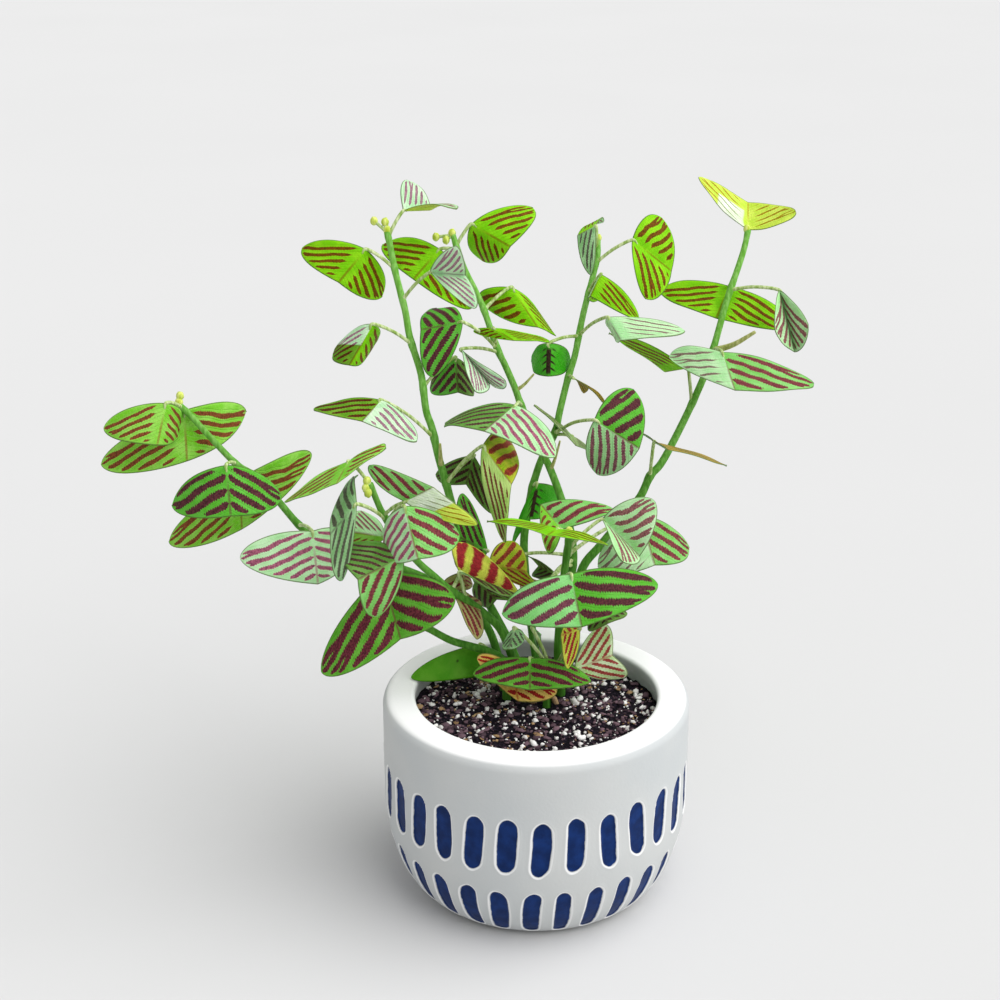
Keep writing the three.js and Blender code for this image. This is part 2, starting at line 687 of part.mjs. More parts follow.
// The point of a stem that stands nearest to a point of the sheet.
function stemPoint({ above, rising }, [across, down]) {
  let best = { gap: Infinity };
  for (let i = 0; i < rising.length - 1; i += 1) {
    const from = new THREE.Vector2(...rising[i]);
    const run = new THREE.Vector2(...rising[i + 1]).sub(from);
    const offset = new THREE.Vector2(across, down).sub(from);
    const share = THREE.MathUtils.clamp(offset.dot(run) / run.lengthSq(), 0, 1);
    const gap = offset.addScaledVector(run, -share).length();
    if (gap < best.gap) {
      best = { gap, point: above[i].clone().lerp(above[i + 1], share) };
    }
  }
  return best.point;
}

function makeStalk(line, leaf) {
  const root = stemPoint(line, leaf[0]);
  const { start, midrib } = bladeFrame(leaf);
  const middle = root.clone().lerp(start, 0.5);
  middle.z += STALK.rise * root.distanceTo(start);
  const end = start.clone().addScaledVector(midrib, STALK.intoBlade);
  const curve = new THREE.CatmullRomCurve3([root, middle, start, end]);
  const centres = curve.getSpacedPoints(STALK.segments);
  return bar(centres, STALK.radius, STALK.radius, STALK.sides);
}

function makeTwig(line, [from, [across, down, away], thickness]) {
  const root = stemPoint(line, from);
  const end = at(across, down, away);
  const middle = root.clone().lerp(end, 0.5);
  middle.z -= TWIG.sag * root.distanceTo(end);
  const curve = new THREE.CatmullRomCurve3([root, middle, end]);
  const radius = TWIG.radius * thickness;
  return bar(curve.getSpacedPoints(TWIG.segments), radius, radius * TWIG.endShare, TWIG.sides);
}

function makeStem(stem) {
  const line = stemLine(stem);
  const curve = new THREE.CatmullRomCurve3([line.ground, ...line.above], false, 'centripetal');
  const segments = Math.ceil(curve.getLength() / STEM.step);
  const centres = [line.buried, ...curve.getSpacedPoints(segments)];
  const pieces = [bar(centres, stem.radius[0], stem.radius[1], STEM.sides)];
  for (const leaf of stem.leaves) {
    pieces.push(makeBlade(leaf), makeStalk(line, leaf));
  }
  for (const twig of stem.twigs) {
    pieces.push(makeTwig(line, twig));
  }
  for (const [across, down] of stem.buds) {
    const bud = new THREE.OctahedronGeometry(BUD.radius, BUD.detail);
    const top = line.above[line.above.length - 1];
    const place = at(across, down, stem.topAway);
    bud.translate(place.x, place.y, place.z);
    pieces.push(toSolid(bud));
    pieces.push(bar([top, place], STALK.radius, STALK.radius, STALK.sides));
  }
  return joinAll(pieces);
}

function makeHole(stem) {
  const radius = stem.radius[0] / Math.cos(Math.PI / STEM.holeSides) + STEM.holeClearance;
  const low = soilLevel - STEM.buried - STEM.holeClearance;
  const high = soilLevel + 3;
  const geometry = new THREE.CylinderGeometry(radius, radius, high - low, STEM.holeSides);
  geometry.rotateX(Math.PI / 2);
  geometry.translate(stem.foot[0], stem.foot[1], (high + low) / 2);
  return toSolid(geometry);
}

// ---------------------------------------------------------------------- assembly

const finishes = {
  pot: new THREE.MeshStandardMaterial({ color: 0xdcdcda, roughness: 0.6, metalness: 0 }),
  soil: new THREE.MeshStandardMaterial({ color: 0x2c2424, roughness: 0.95, metalness: 0 }),
  foliage: new THREE.MeshStandardMaterial({ color: 0x5fae2c, roughness: 0.55, metalness: 0 }),
};

function named(name, solid, finish) {
  const mesh = new THREE.Mesh(toGeometry(solid), finish.clone());
  mesh.name = name;
  return mesh;
}

const plant = new THREE.Group();
plant.add(named('pot', makePot(), finishes.pot));
plant.add(named('soil', makeSoil(STEMS.map(makeHole)), finishes.soil));
for (const stem of STEMS) {
  plant.add(named(stem.name, makeStem(stem), finishes.foliage));
}

export default plant;
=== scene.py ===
"""Looks of the potted swallowtail plant: fine leaves, stems, pot and soil over the CAD frame."""

import math
import random

import bpy
from mathutils import Matrix, Vector, noise


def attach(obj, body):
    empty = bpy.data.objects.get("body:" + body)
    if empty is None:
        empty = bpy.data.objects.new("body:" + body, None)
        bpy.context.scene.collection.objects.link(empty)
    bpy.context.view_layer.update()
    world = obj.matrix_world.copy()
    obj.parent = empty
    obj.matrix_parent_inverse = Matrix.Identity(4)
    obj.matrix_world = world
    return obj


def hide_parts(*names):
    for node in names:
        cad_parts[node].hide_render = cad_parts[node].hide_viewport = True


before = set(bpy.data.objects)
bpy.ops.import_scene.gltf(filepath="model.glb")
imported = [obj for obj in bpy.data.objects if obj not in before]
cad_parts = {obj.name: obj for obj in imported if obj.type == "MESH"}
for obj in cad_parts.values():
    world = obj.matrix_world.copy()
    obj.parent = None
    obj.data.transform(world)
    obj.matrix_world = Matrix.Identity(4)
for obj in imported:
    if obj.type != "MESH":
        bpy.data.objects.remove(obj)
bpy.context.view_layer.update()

MM = 0.001

# ------------------------------------------------------------------ driving sizes
# The same values as in the part's source, in millimetres.

POT = {
    "radius": 52.5,
    "height": 71,
    "foot_radius": 36,
    "belly_height": 36,
    "belly_power": 1.94,
    "wall": 9.7,
    "lip": 1.4,
    "rim_round": 3.4,
    "lip_round": 1.6,
    "turn": 1.2,
}
DASH = {
    "count": 29,
    "half_turn": 3.25,
    "depth": 0.7,
    "rows": [
        {"top": 50.5, "bottom": 30.7, "shift": 0},
        {"top": 23, "bottom": 3.2, "shift": -0.3},
    ],
}
SOIL = {"below_rim": 7.7, "lump": 0.9, "calm": (20, 3, 17), "clearance": 0.3}
STEM = {"buried": 22, "straight": 5, "unseen": 60}  # the last in steps of the sheet
STALK = {"rise": 0.06}  # how far a stalk bows up, as a share of its length
TWIG = {"sag": 0.06}  # and a twig down

# A blade's half outline, as shares of its wing and its midrib, and the length of both as
# shares of its reach. The arch is a share of the wing's length.
BLADE = {
    "tip_share": 0.59,
    "near_powers": (1.8, 0.6),
    "far_powers": (2.2, 0.55),
    "far_bulge": 0.4,
    "midrib_length": 0.66,
    "wing_length": 0.93,
    "arch": 0.1,
}

# The perspective sheet on which stems and leaves are set out, in steps across and down.
# "Away" is the distance behind its plane, which goes through the centre of the pot's rim.
SHEET = {
    "steps_per_radian": 1800,
    "middle": (500, 500),
    "rim_centre": (536, 690.5),
    "eye_distance": 617.6,
    "look_down": math.radians(21),
}
SOIL_LEVEL = POT["height"] - SOIL["below_rim"]

# A stem: its foot on the soil and its radii at the foot and top, in millimetres; its route
# on the sheet, from the top down; and how far away its top is.
# A leaf's row: where its stalk leaves the stem; the joint, with its distance away; the
# midrib's end and the two wing tips, with their leans; the reach; the tone of the faces
# that look at the front, one word for both wings or one for each; its own arch.
# A twig's row: where it leaves the stem, its end, and how thick it is.
STEMS = [
    {
        "name": "stem_left_tall",
        "foot": (-5, 20),
        "top_away": 8,
        "radius": (1.75, 1.15),
        "route": [
            (387, 232), (390, 245), (396, 275), (405, 310), (410, 338), (421, 374), (426, 410),
            (432, 428), (438, 455), (446, 483), (455, 515), (468, 555), (482, 590), (495, 615),
            (508, 640),
        ],
        "leaves": [
            ((393, 269), (366, 249, 8), (338, 283, -0.5), (302, 248, 0.5), (382, 296, 0.8), 23, "lime"),
            ((392, 236), (403, 211, 8), (432, 210, 0.6), (407, 180, 0.5), (457, 208, -0.9),
             18, "blush lemon"),
            ((405, 299), (430, 272, 2), (466, 275, -0.5), (455, 246, -0.7), (474, 309, -0.5), 20, "blush"),
            ((411, 344), (373, 324, 2), (349, 366, -0.5), (335, 350, 0.6), (372, 348, 0.8),
             18, "rolled lime"),
            ((432, 438), (382, 400, 2), (362, 422, -0.8), (314, 409, 0.5), (417, 441, -0.6),
             25, "moss blush", 0.05),
            ((424, 387), (455, 357, 16), (458, 393, -0.3), (430, 388, 0.8), (474, 390, 0.8),
             18, "dark deep"),
            ((448, 483), (474, 455, 17), (466, 485, 0.3), (436, 475, 0.5), (495, 512, 0.5), 24, "deep"),
            ((448, 483), (482, 446, -2), (512, 485, -0.6), (508, 441, 0.9), (503, 541, -0.2),
             33, "gold wine"),
            ((470, 560), (488, 551, 3), (458, 536, 0.3), (464, 494, 0.4), (462, 572, 0.6), 22, "dark"),
            ((478, 580), (476, 580, 7), (497, 600, 0.3), (515, 598, 0.4), (480, 604, 0.8), 15, "deep"),
        ],
        "twigs": [
            ((443, 465), (440, 444, 4), 1.4),
        ],
        "buds": [(374, 221), (385, 222), (387, 230)],
    },
    {
        "name": "stem_centre_left",
        "foot": (7, 19),
        "top_away": 20,
        "radius": (1.7, 1.1),
        "route": [
            (453, 235), (457, 248), (465, 270), (475, 290), (484, 310), (497, 348), (505, 365),
            (515, 388), (521, 405), (533, 432), (545, 458), (549, 466), (555, 481), (560, 495),
            (568, 520), (573, 550), (570, 590), (565, 630),
        ],
        "leaves": [
            ((457, 250), (440, 249, 21), (413, 280, -0.3), (383, 244, 0.6), (472, 308, 0.8), 24, "lime"),
            ((458, 245), (471, 224, 19), (511, 247, 0.4), (533, 208, 0.5), (482, 261, 0.6), 23, "lime"),
            ((487, 309), (511, 287, 23), (538, 328, -0.3), (481, 303, 0.4), (552, 333, 0.4), 28, "lime"),
            ((497, 345), (493, 328, 9), (514, 341, -0.9), (475, 333, 0.8), (549, 341, 0.3),
             17, "lime", 0.03),
            ((497, 348), (463, 322, 7), (420, 330, -0.4), (433, 377, 0.5), (437, 309, 0.9), 20, "dark"),
            ((499, 352), (461, 349, 13), (490, 384, -0.3), (505, 381, -0.4), (474, 390, -0.5), 19, "blush"),
            ((521, 405), (516, 405, 3), (484, 432, -0.7), (445, 424, 0.6), (555, 457, -0.5),
             28, "dusk rose"),
            ((571, 555), (489, 564, -8), (528, 572, -0.3), (512, 541, 0.4), (538, 591, 0.4), 20, "gold"),
            ((571, 560), (546, 585, -7), (520, 580, 0.3), (503, 571, 0.3), (530, 592, 0.8), 18, "salmon"),
            ((571, 565), (556, 574, 1), (538, 566, 0.3), (527, 556, 0.4), (535, 577, 0.8), 15, "deep"),
        ],
        "twigs": [
            ((551, 470), (560, 441, 10), 1),
            ((518, 390), (534, 374, 16), 1),
        ],
        "buds": [(436, 237), (452, 233), (446, 240)],
    },
    {
        "name": "stem_centre_right",
        "foot": (1, 25),
        "top_away": 28,
        "radius": (1.7, 1.1),
        "route": [
            (598, 240), (597, 258), (592, 280), (583, 315), (575, 355), (568, 378), (560, 410),
            (555, 432), (542, 458), (535, 478), (531, 494), (528, 511), (524, 541), (526, 580),
            (532, 630),
        ],
        "leaves": [
            ((597, 252), (596, 226, 26), (577, 236, 0.3), (591, 275, -0.3), (603, 222, 0.9),
             17, "sage lime"),
            ((587, 292), (601, 274, 18), (590, 297, -0.3), (598, 300, 0.9), (639, 319, 0.5), 18, "lime"),
            ((580, 335), (607, 317, 12), (621, 341, -0.4), (685, 331, 0.3), (615, 336, 0.9),
             26, "mist", 0.04),
            ((594, 262), (632, 240, 24), (672, 272, 0.5), (662, 218, 0.5), (646, 299, -0.4), 22, "lime"),
            ((556, 434), (594, 420, 4), (640, 449, -0.6), (634, 390, 0.5), (597, 474, 0.6),
             22, "dark silver"),
            ((579, 336), (549, 343, 20), (548, 377, -0.3), (532, 362, 0.9), (570, 362, 0.9), 16, "ribbed"),
            ((556, 436), (572, 436, 28), (576, 446, -0.9), (534, 405, 0.5), (591, 452, 0.8),
             21, "ash", 0.03),
            ((569, 376), (573, 378, 22), (588, 386, 0.6), (604, 403, 0.6), (584, 393, 0.9), 13, "rust"),
            ((533, 487), (537, 483, 22), (530, 520, 0.3), (512, 545, 0.4), (560, 500, 0.6), 24, "ribbed"),
        ],
        "buds": [(598, 238)],
    },
    {
        "name": "stem_right_tall",
        "foot": (12, 25),
        "top_away": 38,
        "radius": (1.85, 1.15),
        "route": [
            (748, 230), (745, 245), (740, 262), (727, 300), (720, 325), (713, 350), (706, 372),
            (689, 410), (671, 446), (660, 465), (650, 476), (640, 497), (620, 522), (600, 546),
            (583, 567), (575, 600), (571, 640),
        ],
        "leaves": [
            ((735, 288), (729, 286, 42), (716, 319, -0.4), (659, 290, 0.5), (797, 329, 0.6),
             27, "lime", 0.05),
            ((732, 290), (779, 290, 30), (795, 353, -0.3), (775, 330, -0.4), (808, 325, -0.4), 26, "mint"),
            ((748, 232), (748, 230, 38), (748, 202, 0.8), (699, 177, 0.4), (796, 212, -0.7),
             24, "patched lemon", -0.03),
            ((713, 350), (722, 352, 22), (735, 391, -0.7), (669, 357, 0.7), (814, 384, 0.2),
             33, "mist jade", 0.03),
            ((690, 403), (688, 368, 32), (664, 372, 0.8), (609, 333, 0.3), (700, 368, 0.9),
             28, "lime", 0.04),
            ((651, 477), (654, 442, 16), (668, 450, -0.9), (727, 465, 0.2), (640, 434, 0.9),
             26, "rust", 0.02),
        ],
        "twigs": [
            ((713, 351), (755, 332, 24), 1.8),
        ],
        "buds": [(747, 229)],
    },
    {
        "name": "stem_left_low",
        "foot": (-11, 16),
        "top_away": -12,
        "radius": (1.6, 1.1),
        "route": [
            (180, 406), (190, 415), (210, 437), (235, 463), (250, 473), (268, 489), (280, 503),
            (299, 525), (318, 540), (350, 555), (400, 568), (440, 585), (470, 606), (490, 632),
        ],
        "leaves": [
            ((180, 408), (166, 403, -22), (157, 446, -0.4), (104, 428, 0.4), (180, 428, 0.8), 23, "fresh"),
            ((184, 411), (184, 410, -10), (187, 462, 0.3), (101, 464, 0.2), (246, 412, 0.6), 33, "fresh"),
            ((235, 463), (226, 465, -18), (231, 517, -0.3), (173, 505, 0.5), (281, 497, 0.5), 27, "dark"),
            ((252, 474), (240, 478, 0), (242, 530, 0.4), (169, 541, 0.4), (312, 455, 0.4), 33, "fresh"),
            ((299, 525), (312, 531, -14), (318, 585, -0.4), (240, 558, -0.4), (352, 545, 0.6), 28, "rose"),
        ],
        "buds": [(180, 396), (179, 402)],
    },
    {
        "name": "stem_left_middle",
        "foot": (-5, 11),
        "top_away": -36,
        "radius": (1.6, 1.1),
        "route": [
            (370, 484), (380, 508), (385, 517), (400, 541), (418, 562), (435, 577), (450, 590),
            (466, 600), (485, 614), (503, 634),
        ],
        "leaves": [
            ((370, 486), (349, 461, -32), (337, 484, -0.9), (285, 502, 0.4), (386, 447, 0.7),
             25, "fresh", 0.03),
            ((386, 520), (357, 504, -40), (330, 535, 0.3), (355, 477, 0.8), (343, 580, 0.3), 27, "sage"),
            ((384, 515), (405, 502, -38), (434, 487, -0.3), (370, 465, 0.5), (477, 525, -0.3),
             27, "jade curl"),
            ((388, 521), (404, 506, -48), (418, 560, -0.3), (385, 549, 0.8), (459, 535, 0.5),
             24, "rose jade"),
            ((404, 546), (404, 556, -40), (357, 580, -0.3), (346, 545, 0.7), (378, 616, 0.4),
             25, "dusk jade"),
            ((392, 530), (386, 537, -26), (352, 532, 0.3), (362, 511, 0.5), (345, 549, 0.7),
             17, "mint fresh"),
            ((466, 600), (459, 572, -13), (522, 597, 0.1), (466, 543, 0.3), (499, 594, -0.4),
             26, "autumn deep"),
            ((452, 592), (455, 597, -10), (481, 612, 0.5), (476, 639, -0.3), (470, 596, 0.9), 17, "russet"),
            ((452, 591), (462, 572, -6), (468, 590, 0.3), (443, 585, 0.4), (470, 580, 0.9), 10, "russet"),
        ],
        "buds": [(367, 481), (366, 488), (368, 493)],
    },
    {
        "name": "stem_left_basal",
        "foot": (-10, 9),
        "top_away": -4,
        "radius": (1.7, 1.3),
        "route": [
            (426, 627), (450, 640), (470, 646), (490, 652), (503, 662),
        ],
        "leaves": [
            ((426, 627), (382, 574, -14), (401, 640, -0.2), (321, 671, -0.1), (455, 597, -0.1), 34, "bold"),
            ((500, 660), (480, 644, 10), (478, 677, -0.2), (411, 677, -0.4), (499, 668, 0.2), 26, "plain"),
        ],
    },
    {
        "name": "stem_front_short",
        "foot": (9, 12),
        "top_away": -12,
        "radius": (1.7, 1.2),
        "route": [
            (569, 533), (568, 545), (566, 560), (564, 575), (561, 600), (559, 630), (558, 655),
        ],
        "leaves": [
            ((569, 535), (558, 529, -14), (547, 536, -0.9), (487, 521, 0.1), (608, 546, 0.5),
             22, "lime", 0.05),
            ((568, 540), (562, 530, -2), (540, 504, 0.6), (613, 509, 0.3), (547, 552, -0.4),
             24, "jade fresh"),
            ((567, 550), (602, 519, -10), (640, 557, -0.4), (654, 500, -0.4), (622, 561, -0.5), 22, "mint"),
            ((566, 555), (640, 516, 6), (655, 566, -0.3), (598, 566, 0.4), (689, 548, 0.4), 26, "mist jade"),
            ((563, 585), (571, 574, -28), (582, 628, -0.4), (502, 613, 0.5), (658, 585, 0.3),
             33, "green dark"),
            ((562, 600), (600, 606, -10), (608, 624, -0.7), (627, 613, 0.5), (588, 630, 0.5), 14, "deep"),
        ],
        "buds": [(569, 531)],
    },
    {
        "name": "stem_basal",
        "foot": (4, 3),
        "top_away": 3,
        "radius": (1.7, 1.4),
        "route": [
            (552, 672), (554, 686),
        ],
        "leaves": [
            ((552, 676), (530, 658, -4), (530, 691, -0.6), (473, 674, 0.3), (591, 681, 0.3), 22, "bold"),
            ((553, 686), (512, 664, -2), (518, 702, -0.4), (477, 659, -0.2), (557, 690, 0.3), 19, "ochre"),
            ((552, 672), (515, 628, -10), (508, 650, 0.2), (503, 644, 0.2), (524, 640, 0.3), 10, "sage"),
            ((552, 672), (532, 628, 0), (541, 636, 0.5), (537, 648, 0.3), (536, 634, 0.9), 8, "sage"),
            ((553, 674), (580, 629, -9), (560, 636, -0.3), (568, 669, -0.3), (572, 618, 0.3), 16, "autumn"),
            ((554, 684), (574, 669, -6), (613, 655, 0.3), (602, 624, 0.3), (623, 678, 0.3), 19, "pink"),
        ],
    },
]

# Colours of a leaf's face: ground, lighter patches, band, darker parts of the band; and
# the pattern of its bands. The plain leaf has specks and a dark rim in their place.
# The pale tones, mint, mist, sage, blush, rose, white and silver, are partly a leaf's paler underside and
# partly painted sheen.
TONES = {
    "lime": ("70c304", "90d818", "7c4e08", "5c3804", "fine"),
    "lemon": ("bce03c", "dcf064", "b09618", "8c7414", "faint"),
    "fresh": ("70c226", "96d458", "884c2a", "683820", "fine"),
    "jade": ("70be50", "90d278", "864044", "642c32", "broad"),
    "green": ("74c864", "92d886", "7c4652", "5a303c", "broad"),
    "bold": ("4a961e", "68b03c", "6a2e36", "4a1e26", "wide"),
    "dark": ("4ea81e", "66bc44", "603236", "422226", "wide"),
    "deep": ("507c28", "709a48", "4e3228", "34201a", "wide"),
    "dusk": ("569432", "7cb058", "64423e", "442c28", "close"),
    "moss": ("50920a", "7cac30", "5e300a", "402006", "broad"),
    "silver": ("8eca82", "aada9e", "8a5860", "683e46", "close"),
    "mint": ("a0dc8e", "c2eab6", "966462", "784a4c", "fine"),
    "mist": ("a6e29a", "caf0bc", "927c70", "746058", "faint"),
    "sage": ("72af64", "a8d49c", "646854", "464a3c", "broad"),
    "blush": ("ace2a8", "d8f4d0", "a8828e", "886270", "fine"),
    "white": ("d8ecc4", "f4fcec", "a8b48c", "94a078", "faint"),
    "rose": ("a2dc96", "c4ecba", "ac6278", "84465c", "close"),
    "pink": ("a8d074", "d4e6bc", "a64c44", "843630", "broad"),
    "salmon": ("c8a890", "e4c4b4", "a85450", "84403c", "broad"),
    "autumn": ("a8bc38", "d4d854", "a42e30", "7c2024", "wide"),
    "wine": ("8bba4c", "b8d47c", "764832", "583424", "fine"),
    "gold": ("78a410", "b8bc38", "943c28", "702c1c", "broad"),
    "ochre": ("d8b048", "f0d070", "b83024", "8c201c", "broad"),
    "russet": ("969654", "b4ae70", "863a3a", "642a2c", "wide"),
    "rust": ("8c8032", "a8903c", "6c5818", "504410", "faint"),
    "ash": ("70a54a", "a0bc78", "6e6040", "504630", "fine"),
    "ribbed": ("32a010", "58b434", "3c2c20", "281c14", "midrib"),
    "plain": ("489018", "5e9e2a", "28120c", "38600c", "specks"),
}

# Part of a wing that shows a second tone: its reach along the wing and down the midrib,
# as shares of both.
PATCHES = {
    "rolled": {"tones": ("blush", "moss"), "along": (-0.1, 1.1), "down": (0.5, 1.1)},
    "curl": {"tones": ("white", "lemon"), "along": (0.42, 1.1), "down": (-0.1, 1.1)},
    "patched": {"tones": ("lemon", "white"), "along": (0.08, 0.6), "down": (-0.1, 0.6)},
}
# Pale tones: partly a leaf's paler underside and partly painted sheen.
PALE_AND_SHEEN_TONES = ("mint", "mist", "sage", "blush", "rose", "white", "silver")
BACK_OF_PALE = "green"
BACK_OF_OTHER = "mint"

# A pattern of bands: where the first one leaves the midrib, their spacing, half a band's
# width as a share of the spacing, where a band starts along the wing and is at its full
# width, how ragged it is, and the number of the last one. The rest as shares of midrib
# and wing.
PATTERNS = {
    "fine": (0.0, 0.19, 0.24, (0.1, 0.2), 0.3, 4),
    "faint": (0.0, 0.19, 0.14, (0.1, 0.3), 0.3, 4),
    "broad": (-0.08, 0.27, 0.24, (0, 0.06), 0.4, 3),
    "wide": (-0.08, 0.27, 0.28, (0, 0.06), 0.4, 3),
    "close": (-0.04, 0.17, 0.23, (0, 0.06), 0.4, 5),
}
BAND_SLANT = 0.72  # how far down the midrib's length a band goes along the whole wing
BAND_BEND = 0.2  # and how far it turns back towards the tip
BAND_STOP = (0.5, 1.7)  # from no band to its full width, in mm from the margin
COMB_STEP = 0.8  # from one tooth of a band's edge to the next, in mm
FORK_REACH = 0.22  # how far a forked band's arms part, as a share of the spacing
RIB_STEP = 0.2  # between the side marks of a ribbed leaf, as a share of the midrib

# Specular levels: all the surfaces are nearly matt.
SHEEN = 0.07  # of leaves and stems
EARTH_SHEEN = 0.15
GLAZE_SHEEN = 0.1

# The dark and the light shade of everything else.
COLOURS = {
    "stem": ("407824", "5c9838"),
    "stem_top": ("64a438", "8cc464"),
    "stalk": ("8cac50", "d8e4b0"),
    "bud": ("b4c83c", "e4ec8c"),
    "twig": ("98a054", "d0d090"),
    "perlite": ("d8d4d0", "fbfaf8"),
    "bark": ("181019", "7c626c"),
    "husk": ("6c5038", "c0a078"),
    "soil": ("08050c", "2c2230"),
    # The glaze and the rim are a shaded and a lit copy of one glaze: the wall's grey is painted shade and
    # the rim's whiter top a painted highlight. The rim's first shade is also the white ring round each dash.
    "glaze": ("c2c6c7", "cacccb"),
    "rim": ("f4f4f4", "fafafa"),
    "cobalt": ("0a2454", "12326e"),
    "leaf_rim": ("4c5c2c", "6c7c48"),
    "floor": ("d2d2d2", "d5d5d5"),
}


def linear(code):
    """A hex colour as the linear RGBA that Blender's sockets take."""
    levels = [int(code[i:i + 2], 16) / 255 for i in (0, 2, 4)]
    return [v / 12.92 if v < 0.04045 else ((v + 0.055) / 1.055) ** 2.4 for v in levels] + [1.0]


# ------------------------------------------------------------------------- sheet

sight_line = Vector((0, math.cos(SHEET["look_down"]), -math.sin(SHEET["look_down"])))
sheet_up = Vector((0, math.sin(SHEET["look_down"]), math.cos(SHEET["look_down"])))
sheet_right = Vector((1, 0, 0))


def sight_to(across, down):
    """The line of sight to a point of the sheet, one unit deep."""
    right = (across - SHEET["middle"][0]) / SHEET["steps_per_radian"]
    up = (SHEET["middle"][1] - down) / SHEET["steps_per_radian"]
    return sight_line + sheet_right * right + sheet_up * up


eye = Vector((0, 0, POT["height"])) - sight_to(*SHEET["rim_centre"]) * SHEET["eye_distance"]


def at(across, down, away):
    """The point in millimetres that stands this far behind the sheet."""
    return eye + sight_to(across, down) * (SHEET["eye_distance"] + away)


def away_of(point):
    return (point - eye).dot(sight_line) - SHEET["eye_distance"]


# ------------------------------------------------------------------------ shaders


class Value:
    """A number or a vector of a material, to be used in formulas."""

    def __init__(self, shader, socket):
        self.shader = shader
        self.socket = socket

    def __add__(self, other):
        return self.shader.math("ADD", self, other)

    def __sub__(self, other):
        return self.shader.math("SUBTRACT", self, other)

    def __mul__(self, other):
        return self.shader.math("MULTIPLY", self, other)

    def __truediv__(self, other):
        return self.shader.math("DIVIDE", self, other)

    def __abs__(self):
        return self.shader.math("ABSOLUTE", self)


class Shader:
    """A material whose node tree is written as formulas."""

    def __init__(self, name):
        self.material = bpy.data.materials.new(name)
        self.material.use_nodes = True
        self.tree = self.material.node_tree
        self.surface = self.tree.nodes["Principled BSDF"]

    def feed(self, socket, value):
        if isinstance(value, Value):
            self.tree.links.new(value.socket, socket)
        else:
            socket.default_value = value

    def outputs(self, kind, inputs, settings):
        made = self.tree.nodes.new(kind)
        for key, value in settings.items():
            setattr(made, key, value)
        for key, value in inputs.items():
            self.feed(made.inputs[key], value)
        return made.outputs

    def node(self, kind, inputs, output=0, **settings):
        """One output of a new node."""
        return Value(self, self.outputs(kind, inputs, settings)[output])

    def split(self, vector):
        """The three numbers of a vector."""
        return [Value(self, part) for part in self.outputs("ShaderNodeSeparateXYZ", {0: vector}, {})]

    def math(self, operation, first, second=0.0):
        return self.node("ShaderNodeMath", {0: first, 1: second}, operation=operation)

    def ramp(self, value, low, high):
        """0 below low, 1 above high, smooth between; falls where low is above high."""
        inputs = {"Value": value, "From Min": low, "From Max": high}
        return self.node("ShaderNodeMapRange", inputs, interpolation_type="SMOOTHSTEP")

    def noise(self, vector, scale, detail=2.0):
        """Even noise, about 0.5, between 0 and 1."""
        return self.node("ShaderNodeTexNoise", {"Vector": vector, "Scale": scale, "Detail": detail})

    def mix(self, share, first, second):
        return self.node("ShaderNodeMix", {0: share, 6: first, 7: second}, 2, data_type="RGBA")

    def shades(self, share, name):
        """The two colours of a name, mixed."""
        return self.mix(share, *[linear(code) for code in COLOURS[name]])

    def vector(self, x, y, z):
        return self.node("ShaderNodeCombineXYZ", {0: x, 1: y, 2: z})

    def attribute(self, name):
        """The three numbers of a mesh attribute."""
        return self.split(self.node("ShaderNodeAttribute", {}, "Vector", attribute_name=name))

    def place(self):
        return self.node("ShaderNodeTexCoord", {}, "Object")

    def height(self):
        return self.split(self.place())[2]

    def finish(self, colour, roughness, specular, height=None, relief=0.0):
        self.feed(self.surface.inputs["Base Color"], colour)
        self.feed(self.surface.inputs["Roughness"], roughness)
        self.surface.inputs["Specular IOR Level"].default_value = specular
        if height is not None:
            bump = self.node("ShaderNodeBump", {"Height": height, "Distance": relief})
            self.feed(self.surface.inputs["Normal"], bump)
        return self.material


# A leaf's textures, in cells for each mm, and its lines, in mm from the margin or midrib.
LEAF_TEXTURE = {"broad": 0.16, "fine": 1.6, "net": 0.85, "specks": 0.2}
RIM_LINE = (0.42, 0.22)
INNER_LINE = ((0.35, 0.5), (1.0, 0.6))
MIDRIB_LINE = (0.5, 0.25)
VEIN_DEPTHS = {"vein": -0.7, "net": -0.4, "grain": 0.3}


class LeafPlace:
    """Where a point of a leaf's face lies, as numbers for the leaf shaders."""

    def __init__(self, s):
        self.along, self.down, self.seed = s.attribute("blade")
        self.margin, self.along_mm, down_mm = s.attribute("gauge")
        self.fine = s.vector(self.along_mm, down_mm, self.seed * 37.0)
        self.broad_noise = s.noise(self.fine, LEAF_TEXTURE["broad"])
        self.fine_noise = s.noise(self.fine, LEAF_TEXTURE["fine"])
        cells = {"Vector": self.fine, "Scale": LEAF_TEXTURE["net"]}
        edge = s.node("ShaderNodeTexVoronoi", cells, feature="DISTANCE_TO_EDGE")
        self.net = s.ramp(edge, 0.12, 0.0)


def inside_limits(s, value, limits):
    low, high = limits
    return s.ramp(value, low - 0.02, low + 0.02) * s.ramp(value, high + 0.02, high - 0.02)


def leaf_palette(s, name, place):
    """Ground, light, band and dark band colours, mixed where a patch has its own."""
    if name not in PATCHES:
        return [linear(code) for code in TONES[name][:4]]
    patch = PATCHES[name]
    waver = s.noise(place.fine, 0.12, 1.0) * 0.1 - 0.05
    along = inside_limits(s, place.along + waver, patch["along"])
    share = along * inside_limits(s, place.down + waver, patch["down"])
    first, second = (TONES[tone][:4] for tone in patch["tones"])
    return [s.mix(share, linear(a), linear(b)) for a, b in zip(first, second)]


